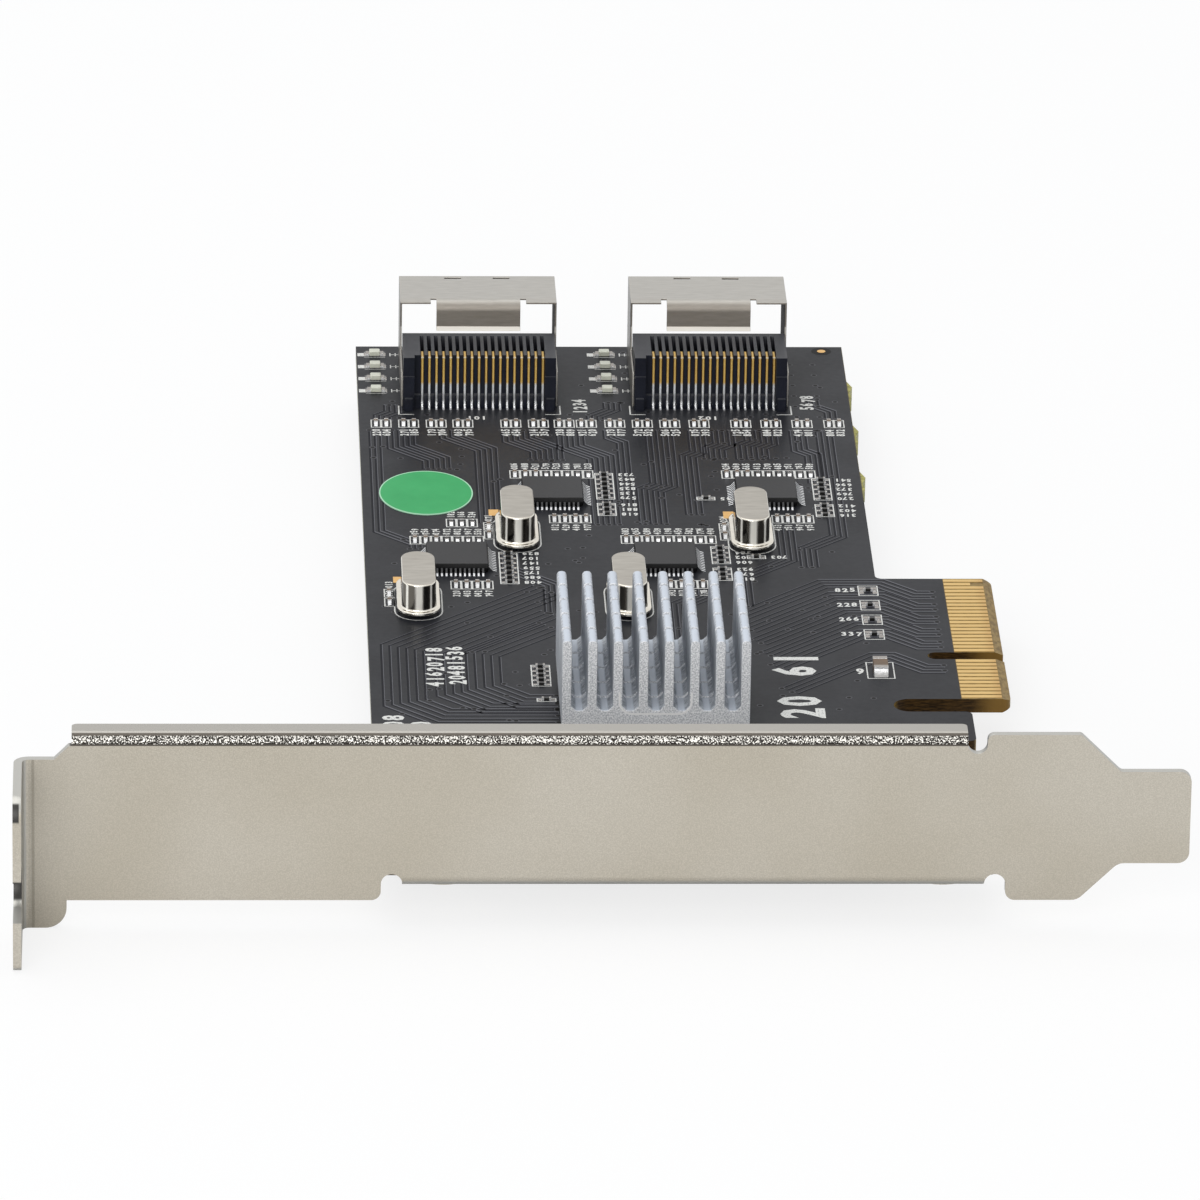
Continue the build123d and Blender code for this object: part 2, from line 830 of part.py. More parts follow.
across += column_of(-13.6, 6.0, 4, 4.2)
save("resistors", placed(plain_chip(resistor_height), upright, across))

# The larger reservoir capacitor near the edge connector
reservoir = ended_chip(large_length, large_width, large_height, large_end, large_height + end_plating)
save("reservoir_capacitor", placed(reservoir, [(-13.5, -4.2)], []))

# Status lamps: four beside each connector
lamp_row = 79.1
lamps_a = column_of(-66.1, lamp_row, 4, lamp_step)
lamps_b = column_of(-39.9, lamp_row, 4, lamp_step)
lamp = ended_chip(lamp_length, lamp_width, lamp_height, lamp_end, lamp_base)
save("status_lamps", placed(lamp, [], lamps_a + lamps_b))

# The round-cornered inspection sticker, left bare
sticker_length = 13.2
sticker_width = 10.4
sticker_thickness = 0.1
with BuildPart() as inspection_sticker:
    with BuildSketch(Plane.XY.offset(half)):
        with Locations((-61.1, 47.4)):
            Ellipse(sticker_width / 2, sticker_length / 2)
    extrude(amount=sticker_thickness)
save("inspection_sticker", inspection_sticker.part)
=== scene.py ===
import math

import bmesh
import bpy
import numpy as np
from mathutils import Matrix, Vector


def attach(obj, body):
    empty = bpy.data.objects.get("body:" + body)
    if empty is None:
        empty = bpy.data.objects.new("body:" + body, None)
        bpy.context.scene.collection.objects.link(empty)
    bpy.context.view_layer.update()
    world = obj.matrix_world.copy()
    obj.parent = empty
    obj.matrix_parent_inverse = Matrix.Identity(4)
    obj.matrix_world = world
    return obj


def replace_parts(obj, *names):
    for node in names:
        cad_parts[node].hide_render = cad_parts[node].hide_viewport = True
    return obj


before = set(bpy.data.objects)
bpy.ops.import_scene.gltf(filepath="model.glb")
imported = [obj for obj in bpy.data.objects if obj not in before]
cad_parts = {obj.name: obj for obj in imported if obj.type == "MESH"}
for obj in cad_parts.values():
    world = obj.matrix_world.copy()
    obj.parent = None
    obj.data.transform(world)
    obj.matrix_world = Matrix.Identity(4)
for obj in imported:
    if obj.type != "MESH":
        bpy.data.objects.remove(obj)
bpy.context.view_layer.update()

mm = 0.001

# The table, light and camera: a white sweep under soft daylight boxes.
# The camera stands beyond the bracket and looks down on the card through a long lens.
floor_level = -6.12 * mm
white_share = 0.8
world = bpy.data.worlds.new("daylight")
bpy.context.scene.world = world
world.use_nodes = True
sky = world.node_tree
sky.nodes.clear()
ambient = sky.nodes.new("ShaderNodeBackground")
ambient.inputs["Color"].default_value = (0.93, 0.96, 1.0, 1)
ambient.inputs["Strength"].default_value = 0.6
paper = sky.nodes.new("ShaderNodeBackground")
paper.inputs["Color"].default_value = (1, 1, 1, 1)
rays = sky.nodes.new("ShaderNodeLightPath")
seen = sky.nodes.new("ShaderNodeMath")
seen.operation = "MAXIMUM"
bounced = sky.nodes.new("ShaderNodeMath")
bounced.operation = "MAXIMUM"
blend = sky.nodes.new("ShaderNodeMixShader")
out = sky.nodes.new("ShaderNodeOutputWorld")
sky.links.new(rays.outputs["Is Glossy Ray"], bounced.inputs[0])
sky.links.new(rays.outputs["Is Transmission Ray"], bounced.inputs[1])
sky.links.new(rays.outputs["Is Camera Ray"], seen.inputs[0])
sky.links.new(bounced.outputs[0], seen.inputs[1])
sky.links.new(seen.outputs[0], blend.inputs["Fac"])
sky.links.new(ambient.outputs[0], blend.inputs[1])
sky.links.new(paper.outputs[0], blend.inputs[2])
sky.links.new(blend.outputs[0], out.inputs["Surface"])


def softbox(name, place, width, power, tint):
    """A square area lamp at a place in metres, turned to face the card's middle."""
    lamp = bpy.data.lights.new(name, "AREA")
    lamp.size = width
    lamp.energy = power
    lamp.color = tint
    holder = bpy.data.objects.new(name, lamp)
    bpy.context.scene.collection.objects.link(holder)
    holder.location = place
    toward = Vector((-0.04, 0.0, 0.0)) - Vector(place)
    holder.rotation_euler = toward.to_track_quat("-Z", "Y").to_euler()


softbox("overhead_box", (-0.25, 0.25, 1.1), 1.1, 5.5, (1.0, 0.99, 0.97))
softbox("front_box", (-0.45, -1.2, 0.6), 0.9, 9.0, (1.0, 0.985, 0.96))

sweep_mesh = bpy.data.meshes.new("sweep")
sweep_mesh.from_pydata(
    [(-4, -4, floor_level), (4, -4, floor_level), (4, 6, floor_level), (-4, 6, floor_level)],
    [],
    [(0, 1, 2, 3)],
)
sweep = bpy.data.objects.new("sweep", sweep_mesh)
bpy.context.scene.collection.objects.link(sweep)
sweep_look = bpy.data.materials.new("sweep_paper")
sweep_look.use_nodes = True
paper_tree = sweep_look.node_tree
paper_shader = paper_tree.nodes["Principled BSDF"]
paper_shader.inputs["Base Color"].default_value = (0.9, 0.9, 0.9, 1)
paper_shader.inputs["Roughness"].default_value = 0.9
plain_white = paper_tree.nodes.new("ShaderNodeEmission")
camera_ray = paper_tree.nodes.new("ShaderNodeLightPath").outputs["Is Camera Ray"]
share = paper_tree.nodes.new("ShaderNodeMath")
share.operation = "MULTIPLY"
share.inputs[1].default_value = white_share
veil = paper_tree.nodes.new("ShaderNodeMixShader")
paper_tree.links.new(camera_ray, share.inputs[0])
paper_tree.links.new(share.outputs[0], veil.inputs["Fac"])
paper_tree.links.new(paper_shader.outputs[0], veil.inputs[1])
paper_tree.links.new(plain_white.outputs[0], veil.inputs[2])
paper_tree.links.new(veil.outputs[0], paper_tree.nodes["Material Output"].inputs["Surface"])
sweep_mesh.materials.append(sweep_look)

# The camera's place, turn and lens were solved from known points of the card.
yaw, pitch, roll = (math.radians(a) for a in (2.260, 21.992, 0.879))
eye = (-90.695 * mm, -1196.251 * mm, 490.711 * mm)
forward = Vector((math.sin(yaw) * math.cos(pitch), math.cos(yaw) * math.cos(pitch), -math.sin(pitch)))
level = Vector((math.cos(yaw), -math.sin(yaw), 0))
upright = level.cross(forward)
right = level * math.cos(roll) + upright * math.sin(roll)
above = upright * math.cos(roll) - level * math.sin(roll)
lens = bpy.data.cameras.new("camera")
lens.lens = 361.78
lens.sensor_width = 36
camera = bpy.data.objects.new("camera", lens)
bpy.context.scene.collection.objects.link(camera)
turned = Matrix((right, above, -forward)).transposed().to_4x4()
camera.matrix_world = Matrix.Translation(eye) @ turned
bpy.context.scene.camera = camera
bpy.context.scene.view_settings.view_transform = "Standard"


# The circuit board: glass laminate under a matte charcoal solder mask.
# Its routed edges, relief slot and the bare end of the tongue show the brown laminate.
def srgb(red, green, blue):
    """A shader colour from screen values of 0 to 255."""
    screen = np.array((red, green, blue)) / 255
    linear = np.where(screen < 0.04045, screen / 12.92, ((screen + 0.055) / 1.055) ** 2.4)
    return (*map(float, linear), 1.0)


def new_look(name, roughness, metallic=0.0, glint=0.5):
    """A material: gives it, its tree, its shader and the object coordinates."""
    look = bpy.data.materials.new(name)
    look.use_nodes = True
    tree = look.node_tree
    shader = tree.nodes["Principled BSDF"]
    shader.inputs["Metallic"].default_value = metallic
    shader.inputs["Roughness"].default_value = roughness
    shader.inputs["Specular IOR Level"].default_value = glint
    return look, tree, shader, tree.nodes.new("ShaderNodeTexCoord").outputs["Object"]


def node(tree, kind, inputs, **settings):
    """A shader node with its settings, and its inputs linked or filled in; gives its first output."""
    made = tree.nodes.new("ShaderNode" + kind)
    for key, value in settings.items():
        setattr(made, key, value)
    for key, value in inputs.items():
        if isinstance(value, bpy.types.NodeSocket):
            tree.links.new(value, made.inputs[key])
        else:
            made.inputs[key].default_value = value
    return made.outputs[0]


def sums(tree, operation, first, second=0.0, third=0.0):
    """One arithmetic step on numbers or sockets."""
    return node(tree, "Math", {0: first, 1: second, 2: third}, operation=operation)


def times(tree, first, *others):
    """The product of several masks."""
    for other in others:
        first = sums(tree, "MULTIPLY", first, other)
    return first


def between(tree, value, low, high):
    """Rises smoothly from 0 to 1 as the value goes from low to high; falls if low is above high."""
    turned = float(low > high)
    ends = {"Value": value, "From Min": min(low, high), "From Max": max(low, high)}
    ends |= {"To Min": turned, "To Max": 1.0 - turned}
    return node(tree, "MapRange", ends, interpolation_type="SMOOTHSTEP")


def mixed(tree, factor, first, second):
    """A colour between two colours or sockets."""
    made = tree.nodes.new("ShaderNodeMix")
    made.data_type = "RGBA"
    for key, value in ((0, factor), (6, first), (7, second)):
        if isinstance(value, bpy.types.NodeSocket):
            tree.links.new(value, made.inputs[key])
        else:
            made.inputs[key].default_value = value
    return made.outputs[2]


def grain(tree, where, per_mm, detail=3.0, stretch=(1, 1, 1)):
    """Noise with about so many grains per millimetre, stretched along an axis where asked."""
    scaled = node(tree, "Mapping", {"Vector": where, "Scale": stretch})
    return node(tree, "TexNoise", {"Vector": scaled, "Scale": per_mm / mm, "Detail": detail})


def relief(tree, shader, height, strength, depth_mm):
    """Sets the shader's surface relief from a height value."""
    made = node(tree, "Bump", {"Height": height, "Strength": strength, "Distance": depth_mm * mm})
    tree.links.new(made, shader.inputs["Normal"])


def axes(tree, vector):
    """The three parts of a vector socket."""
    split = tree.nodes.new("ShaderNodeSeparateXYZ")
    tree.links.new(vector, split.inputs[0])
    return split.outputs


def facing(tree):
    """The parts of the surface normal."""
    return axes(tree, tree.nodes.new("ShaderNodeNewGeometry").outputs["Normal"])


def painted(name, look):
    """Gives a CAD node its material."""
    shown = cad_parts[name]
    shown.data.materials.clear()
    shown.data.materials.append(look)


board_look, tree, shader, where = new_look("board_laminate", 0.4, 0.0, 0.08)
x, y, z = axes(tree, where)
nx, ny, nz = facing(tree)
flat = between(tree, sums(tree, "ABSOLUTE", nz), 0.8, 0.95)
fibre = between(tree, grain(tree, where, 3.0, 4.0, (0.4, 0.4, 2.5)), 0.3, 0.7)
raw = mixed(tree, fibre, srgb(112, 90, 50), srgb(148, 124, 74))
# Painted shade: walls that face the bracket are painted dark.
near_wall_shade_and_highlight = mixed(tree, fibre, srgb(34, 24, 12), srgb(74, 54, 28))
# A painted amber highlight lightens them towards the tongue's tip.
near_wall_shade_and_highlight = mixed(tree, between(tree, x, -4.5 * mm, -1.5 * mm), near_wall_shade_and_highlight, srgb(118, 90, 44))
raw = mixed(tree, between(tree, ny, -0.4, -0.8), raw, near_wall_shade_and_highlight)
# Walls that face left are painted lighter: a painted highlight on their lit side.
lit_left_edge = mixed(tree, fibre, srgb(128, 128, 112), srgb(176, 174, 156))
raw = mixed(tree, between(tree, nx, -0.4, -0.8), raw, lit_left_edge)
# The torn stubs past the right-hand edge are greenish yellow and bare.
right_edge, stubs_from = -12.6 * mm, 46 * mm
past_edge = between(tree, x, right_edge - 0.1 * mm, right_edge + 0.1 * mm)
stub = times(tree, past_edge, between(tree, y, stubs_from - 1 * mm, stubs_from + 1 * mm))
raw = mixed(tree, stub, raw, mixed(tree, fibre, srgb(120, 118, 60), srgb(176, 170, 96)))
# The mask stops short of the edge contacts over the tongue's width.
tongue_middle, mask_end = 5 * mm, -5.2 * mm
off_middle = sums(tree, "ABSOLUTE", sums(tree, "SUBTRACT", y, tongue_middle))
on_tongue = between(tree, off_middle, 18.2 * mm, 18.1 * mm)
bare = times(tree, between(tree, x, mask_end - 0.15 * mm, mask_end), on_tongue)
bare = sums(tree, "MAXIMUM", bare, stub)
masked = times(tree, flat, sums(tree, "SUBTRACT", 1.0, bare))
cloud = between(tree, grain(tree, where, 0.12, 4.0), 0.35, 0.65)
charcoal = mixed(tree, cloud, srgb(34, 35, 39), srgb(42, 43, 47))
tree.links.new(mixed(tree, masked, raw, charcoal), shader.inputs["Base Color"])
rough = node(tree, "MapRange", {"Value": grain(tree, where, 1.5), "To Min": 0.28, "To Max": 0.42})
tree.links.new(rough, shader.inputs["Roughness"])
relief(tree, shader, grain(tree, where, 6.0), 0.12, 0.02)
painted("circuit_board", board_look)

# The tracks: bundles of copper tracks under the mask, parted by narrow etched gaps.
# They run straight and at 45 degrees between the connectors, controllers, heat sink and tongue.
board_top = 0.785 * mm


def placed(name, mesh, look):
    """A mesh as an object in the shared frame that rides with the card."""
    mesh.materials.clear()
    mesh.materials.append(look)
    made = bpy.data.objects.new(name, mesh)
    bpy.context.scene.collection.objects.link(made)
    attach(made, "root")
    return made


def new_piece(name, points, faces, look, finish):
    """A piece from points in metres and faces."""
    if isinstance(faces, np.ndarray):
        faces = faces.tolist()
    mesh = bpy.data.meshes.new(name)
    mesh.from_pydata(points.tolist(), [], faces)
    return placed(name, mesh, look)


def clouded_look(name, roughness, per_mm, slot_and_corner_shade, light, metallic=0.0, glint=0.5):
    """A material whose colour wanders between two tones."""
    look, tree, shader, where = new_look(name, roughness, metallic, glint)
    tree.links.new(mixed(tree, grain(tree, where, per_mm), slot_and_corner_shade, light), shader.inputs["Base Color"])
    return look


def offset_routes(route, lanes, pitch):
    """Copies of a route side by side, mitred so that the lanes stay parallel round the corners."""
    legs = np.diff(route, axis=0)
    length = np.maximum(np.linalg.norm(legs, axis=1, keepdims=True), 1e-9)
    sideways = np.stack((-legs[:, 1], legs[:, 0]), axis=1) / length
    sideways = np.where(length < 1e-6, np.nan, sideways)
    before = np.vstack((sideways[:1], sideways))
    after = np.vstack((sideways, sideways[-1:]))
    mitre = before + after
    mitre = 2 * mitre / np.sum(mitre**2, axis=1, keepdims=True)
    steps = (np.arange(lanes) - (lanes - 1) / 2) * pitch
    return route[None] + steps[:, None, None] * mitre[None]


def ribbons(routes, width, level):
    """Flat strips of one width along flat routes of three legs; each leg is one four-sided face."""
    routes = np.asarray(routes)
    half_lanes = np.stack([offset_routes(route, 2, width) for route in routes])
    count, _, stops, _ = half_lanes.shape
    points = np.concatenate((half_lanes, np.full((count, 2, stops, 1), level)), axis=3)
    index = np.arange(count * 2 * stops).reshape(count, 2, stops)
    faces = np.stack((index[:, 0, :-1], index[:, 0, 1:], index[:, 1, 1:], index[:, 1, :-1]), axis=-1)
    return points.reshape(-1, 3), faces.reshape(-1, 4)[:, ::-1]


def joined(parts):
    """Several meshes as one: the faces of each are counted on from those before it."""
    points = np.concatenate([part[0] for part in parts])
    starts = np.cumsum([0] + [len(part[0]) for part in parts[:-1]])
    faces = np.concatenate([part[1] + start for part, start in zip(parts, starts)])
    return points, faces


# Each bundle is a count of tracks and the turns of its middle, in millimetres.
bundles = (
    (3, (-66.5, 66.8), (-66.5, 36.0), (-62.6, 32.1), (-62.6, 30.8)),
    (5, (-58.0, 66.8), (-58.0, 64.6), (-54.2, 60.8), (-54.2, 38.4)),
    (7, (-50.4, 66.8), (-50.4, 63.8), (-47.4, 60.8), (-47.4, 57.6)),
    (6, (-44.6, 66.8), (-44.6, 61.6), (-41.4, 58.4), (-41.4, 38.0)),
    (6, (-34.6, 66.8), (-34.6, 50.0), (-36.2, 48.4), (-36.2, 38.2)),
    (4, (-30.4, 66.8), (-30.4, 60.0), (-31.6, 58.8), (-31.6, 41.0)),
    (7, (-23.2, 66.8), (-23.2, 63.0), (-24.4, 61.8), (-24.4, 57.8)),
    (4, (-16.0, 66.8), (-16.0, 34.6), (-19.6, 31.0), (-19.6, 25.4)),
    (4, (-65.6, 69.8), (-65.6, 71.2), (-64.4, 72.4), (-64.4, 74.6)),
    (4, (-41.6, 69.8), (-41.6, 71.2), (-39.6, 73.2), (-39.6, 75.4)),
    (3, (-15.0, 70.2), (-15.0, 72.6), (-16.8, 74.4), (-16.8, 76.6)),
    (6, (-63.6, 66.8), (-63.6, 61.6), (-59.8, 57.8), (-59.8, 54.8)),
    (3, (-40.2, 66.8), (-40.2, 64.4), (-38.8, 63.0), (-38.8, 44.0)),
    (5, (-27.4, 66.8), (-27.4, 62.4), (-28.6, 61.2), (-28.6, 58.0)),
    (4, (-19.0, 66.8), (-19.0, 60.6), (-17.6, 59.2), (-17.6, 50.5)),
    (4, (-52.4, 37.4), (-52.4, 24.6), (-48.0, 20.2), (-48.0, 12.0)),
    (5, (-31.6, 20.8), (-31.6, 17.0), (-34.0, 14.6), (-34.0, 0.0)),
    (4, (-21.8, 37.2), (-21.8, 27.6), (-27.2, 22.2), (-27.2, 14.0)),
)
routes = []
for lanes, *turns in bundles:
    routes += list(offset_routes(np.array(turns), lanes, 0.6))
# Three bundles bend round to the heat sink from its left, six run from it to the contacts.
bends = []
sink_left, sink_row = -48.4, -9.2
for reach, lanes, rise in ((16.2, 6, 2.2), (11.4, 4, 0.4), (7.6, 5, 0.4)):
    left, low = sink_left - reach, sink_row - reach / 2
    turns = [(sink_left, low), (left + 4.0, low), (left, low + 4.0), (left, rise), (sink_left, rise + reach)]
    bends += list(offset_routes(np.array(turns), lanes, 0.9))
knee_left, knee_step, slant = -18.4, 0.9, 3.4
for i, knee_y in enumerate((20.6, 17.0, 13.4, 9.8, 6.2, -0.4)):
    knee = np.array((knee_left + knee_step * i, knee_y))
    ahead = 6.2 - knee_step * i
    after = knee + (ahead + slant, -slant)
    turns = [knee - 9.6, knee, knee + (ahead, 0), after, after + (2.2, 0)]
    bends += list(offset_routes(np.array(turns), 4, 0.75))
groups = (np.array(routes), np.array(bends))
gap_level = board_top + 0.004 * mm
gap_look = clouded_look("etched_gap", 0.5, 0.2, srgb(32, 32, 36), srgb(44, 44, 48), glint=0.03)
gap_parts = [ribbons(group * mm, 0.24 * mm, gap_level) for group in groups]
new_piece("etched_gaps", *joined(gap_parts), gap_look, "board_mask")
# A lighter strip beside each gap is the lit edge of the copper under the mask.
edge_level = board_top + 0.003 * mm
edge_shift = np.array((0.09, 0.2))
edge_look = clouded_look("track_edge", 0.4, 0.2, srgb(80, 81, 87), srgb(98, 99, 105), glint=0.14)
edge_parts = [ribbons((group + edge_shift) * mm, 0.2 * mm, edge_level) for group in groups]
new_piece("track_edges", *joined(edge_parts), edge_look, "board_mask")

# The vias: small holes drilled through the board and plated with copper, closed by the mask.
# They stand at the tracks' ends, in rows beside a connector and scattered over the board.
random = np.random.default_rng(7)


def discs(centres, radius, level, sides=10):
    """Flat round faces of one radius about flat centres."""
    turn = np.arange(sides) * 2 * math.pi / sides
    rim = np.stack((np.cos(turn), np.sin(turn)), axis=1) * radius
    flat = np.asarray(centres)[:, None, :] + rim[None]
    points = np.concatenate((flat, np.full((*flat.shape[:2], 1), level)), axis=2)
    return points.reshape(-1, 3), np.arange(len(points) * sides).reshape(-1, sides)


ends = np.array([route[k] for route in routes[::2] + bends[::2] for k in (0, -1)])
loose_count = 330
loose = np.stack((random.uniform(-67, -14, loose_count), random.uniform(-54, 92, loose_count)), axis=1)
across, along = np.arange(-24.0, -14.0, 2.6), np.arange(71.0, 90.0, 3.3)
rows = np.stack(np.meshgrid(across, along), axis=-1).reshape(-1, 2)
holes = np.concatenate((ends, loose, rows)) * mm
via_look = clouded_look("via_hole", 0.5, 1.0, srgb(6, 6, 7), srgb(20, 19, 18), glint=0.1)
rim_look = clouded_look("via_rim", 0.4, 1.0, srgb(58, 58, 63), srgb(72, 72, 78), glint=0.14)
new_piece("via_holes", *discs(holes, 0.25 * mm, board_top + 0.006 * mm), via_look, "board_mask")
new_piece("via_rims", *discs(holes, 0.38 * mm, board_top + 0.005 * mm), rim_look, "board_mask")


# Bare gold: test pads beside the crystals and the sighting dot at the far corner.
# The mask is left open there, and the copper has a thin plating of gold.
def solid_boxes(name, count):
    """The lowest and highest corner of each solid of a CAD node whose solids are alike."""
    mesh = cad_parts[name].data
    loops = np.zeros(len(mesh.loops), np.int64)
    mesh.loops.foreach_get("vertex_index", loops)
    flat = np.zeros(len(mesh.vertices) * 3)
    mesh.vertices.foreach_get("co", flat)
    corners = flat.reshape(-1, 3)[loops].reshape(count, -1, 3)
    return corners.min(axis=1), corners.max(axis=1)


def plates(low, high):
    """Boxes between pairs of corners; faces point outward."""
    low, high = np.asarray(low, float), np.asarray(high, float)
    pick = np.array([(i & 1, i >> 1 & 1, i >> 2 & 1) for i in range(8)])
    points = np.where(pick[None], high[:, None], low[:, None])
    sides = np.array([(0, 2, 3, 1), (4, 5, 7, 6), (0, 1, 5, 4), (2, 6, 7, 3), (0, 4, 6, 2), (1, 3, 7, 5)])
    faces = (np.arange(len(low)) * 8)[:, None, None] + sides[None]
    return points.reshape(-1, 3), faces.reshape(-1, 4)


gold_look = clouded_look("bare_gold", 0.34, 2.0, srgb(214, 165, 92), srgb(236, 192, 122), metallic=0.85)
pads = np.array(((-65.2, 20.85, -64.0, 22.55), (-54.3, 40.7, -53.2, 42.5), (-28.4, 39.9, -27.25, 41.95))) * mm
pad_top = board_top + 0.03 * mm
low = np.column_stack((pads[:, :2], np.full(3, board_top)))
high = np.column_stack((pads[:, 2:], np.full(3, pad_top)))
new_piece("bare_pads", *plates(low, high), gold_look, "gold_plate")
dot_middle = np.array([(-14.98, 91.81)]) * mm
new_piece("fiducial", *discs(dot_middle, 0.48 * mm, pad_top, 20), gold_look, "gold_plate")
new_piece("fiducial_ring", *discs(dot_middle, 1.15 * mm, board_top + 0.008 * mm, 28), via_look, "board_mask")

# The printed legend: white ink outlines round every small part, crystal and connector,
# with plain numbers beside the rows.
print_level = board_top + 0.012 * mm


def outlines(low, high, end_margin, side_margin, line):
    """Rectangular frames round flat boxes, each four strips; the ends of a box have their own margin."""
    lying = (high[:, 0] - low[:, 0] >= high[:, 1] - low[:, 1])[:, None]
    margin = np.where(lying, (end_margin, side_margin), (side_margin, end_margin))
    left, near = (low[:, :2] - margin).T
    right, far = (high[:, :2] + margin).T
    strips = [
        (left, near, right, near + line),
        (left, far - line, right, far),
        (left, near + line, left + line, far - line),
        (right - line, near + line, right, far - line),
    ]
    flat = np.concatenate([np.stack(strip, axis=1) for strip in strips])
    return blank_strips(flat)


def blank_strips(flat):
    """Flat rectangles from rows of left, near, right and far."""
    left, near, right, far = np.asarray(flat, float).T
    level = np.full(len(left), print_level)
    corners = [(left, near), (right, near), (right, far), (left, far)]
    points = np.stack([np.stack((px, py, level), axis=1) for px, py in corners], axis=1)
    return points.reshape(-1, 3), np.arange(len(left) * 4).reshape(-1, 4)


def capsule_rings(centres, length, width, line, steps=12):
    """Rings round capsules that lie along Y: two half rounds joined by straights."""
    turn = np.linspace(0, math.pi, steps)
    arc = np.stack((np.cos(turn), np.sin(turn)), axis=1)
    straight = (length - width) / 2
    parts = []
    for reach in (width / 2, width / 2 + line):
        far = arc * reach + (0, straight)
        parts.append(np.concatenate((far, -far)))
    ring = np.stack(parts)
    flat = np.asarray(centres)[:, None, None, :] + ring[None]
    count, stops = len(flat), ring.shape[1]
    points = np.concatenate((flat, np.full((*flat.shape[:3], 1), print_level)), axis=3)
    index = np.arange(count * 2 * stops).reshape(count, 2, stops)
    after = np.roll(index, -1, axis=2)
    faces = np.stack((index[:, 0], index[:, 1], after[:, 1], after[:, 0]), axis=-1)
    return points.reshape(-1, 3), faces.reshape(-1, 4)


def digit_meshes():
    """Flat shapes of the ten digits, one unit high, centred; made as text and turned to a mesh."""
    shapes = []
    for digit in "0123456789":
        curve = bpy.data.curves.new("digit", "FONT")
        curve.body = digit
        curve.resolution_u = 2
        curve.offset = 0.035
        curve.align_x = "CENTER"
        curve.align_y = "CENTER"
        text = bpy.data.objects.new("digit", curve)
        mesh = bpy.data.meshes.new_from_object(text)
        flat = np.zeros(len(mesh.vertices) * 3)
        mesh.vertices.foreach_get("co", flat)
        faces = [tuple(face.vertices) for face in mesh.polygons]
        points = flat.reshape(-1, 3)[:, :2]
        points = (points - points.mean(axis=0)) / np.ptp(points[:, 1])
        shapes.append((points, faces))
        bpy.data.objects.remove(text)
        bpy.data.meshes.remove(mesh)
        bpy.data.curves.remove(curve)
    return shapes


digits = digit_meshes()


def numbers(labels):
    """Points and faces of numbers; a label is its digits, place, height and turn in degrees."""
    points, faces, start = [], [], 0
    for text, place, height, angle in labels:
        turn = math.radians(angle)
        along = np.array((math.cos(turn), math.sin(turn)))
        upward = np.array((-math.sin(turn), math.cos(turn)))
        for i, digit in enumerate(text):
            shape, own = digits[int(digit)]
            shift = (i - (len(text) - 1) / 2) * 0.72
            flat = (shape[:, :1] * 0.86 + shift) * along + shape[:, 1:] * upward
            flat = flat * height + np.asarray(place)
            points.append(np.column_stack((flat * mm, np.full(len(flat), print_level))))
            faces += [tuple(v + start for v in face) for face in own]
            start += len(shape)
    return np.concatenate(points), faces


coupling_low, coupling_high = solid_boxes("coupling_capacitors", 32)
decoupling_low, decoupling_high = solid_boxes("decoupling_capacitors", 34)
resistor_low, resistor_high = solid_boxes("resistors", 67)
reservoir_low, reservoir_high = solid_boxes("reservoir_capacitor", 1)
lamp_low, lamp_high = solid_boxes("status_lamps", 8)
can_low, can_high = solid_boxes("crystal_cans", 4)
can_middle = ((can_low + can_high) / 2)[:, :2]


def columns(low, high, reach):
    """Boxes round the columns that parts lying along X stand in, where less than a reach apart."""
    order = np.lexsort((low[:, 1], low[:, 0].round(5)))
    low, high = low[order], high[order]
    apart = (np.abs(np.diff(low[:, 0])) > 0.2 * mm) | (np.diff(low[:, 1]) > reach)
    starts = np.concatenate(((0,), np.flatnonzero(apart) + 1))
    return np.minimum.reduceat(low, starts), np.maximum.reduceat(high, starts)


small_low = np.concatenate((decoupling_low, resistor_low))
small_high = np.concatenate((decoupling_high, resistor_high))
lying = small_high[:, 0] - small_low[:, 0] > 0.7 * mm
column_low, column_high = columns(small_low[lying], small_high[lying], 2.0 * mm)
column_ends = np.array((0.55, 0.25, 0)) * mm
# The four parts by the edge contacts have taller frames, as arrays of resistors have.
arrays = (column_low[:, 0] > -16 * mm)[:, None]
array_ends = np.array((0.05, 0.95, 0)) * mm
column_low = np.where(arrays, column_low - array_ends, column_low)
column_high = np.where(arrays, column_high + array_ends, column_high)
line = 0.13 * mm
upright_low = np.concatenate((coupling_low, small_low[~lying]))
upright_high = np.concatenate((coupling_high, small_high[~lying]))
frames = [
    outlines(upright_low, upright_high, 0.72 * mm, 0.335 * mm, line),
    outlines(column_low - column_ends, column_high + column_ends, 0.0, 0.0, line),
    outlines(reservoir_low, reservoir_high, 0.7 * mm, 0.7 * mm, line),
    capsule_rings(can_middle, 10.8 * mm, 5.0 * mm, 0.15 * mm),
]
# An angle at each front corner of a connector, and short strokes round each lamp.
strokes = []
connector_middles = (-54.55, -28.45)
for centre in connector_middles:
    for side in (-1, 1):
        edge = centre + side * 9.1
        inner = edge - side * 1.7
        strokes.append((min(edge, inner), 71.6, max(edge, inner), 71.75))
        strokes.append((edge - 0.08, 71.6, edge + 0.08, 74.4))
lamp_strokes = np.array((
    (-1.95, -0.5, -1.2, 0.5),
    (1.7, -0.5, 1.82, 0.5),
    (1.82, -0.06, 2.9, 0.06),
    (2.3, -0.45, 2.42, 0.45),
    (-1.2, -0.85, 1.2, -0.75),
    (-1.2, 0.75, 1.2, 0.85),
))
for px, py in ((lamp_low + lamp_high) / 2)[:, :2] / mm:
    strokes += (lamp_strokes + (px, py, px, py)).tolist()
frames.append(blank_strips(np.array(strokes) * mm))

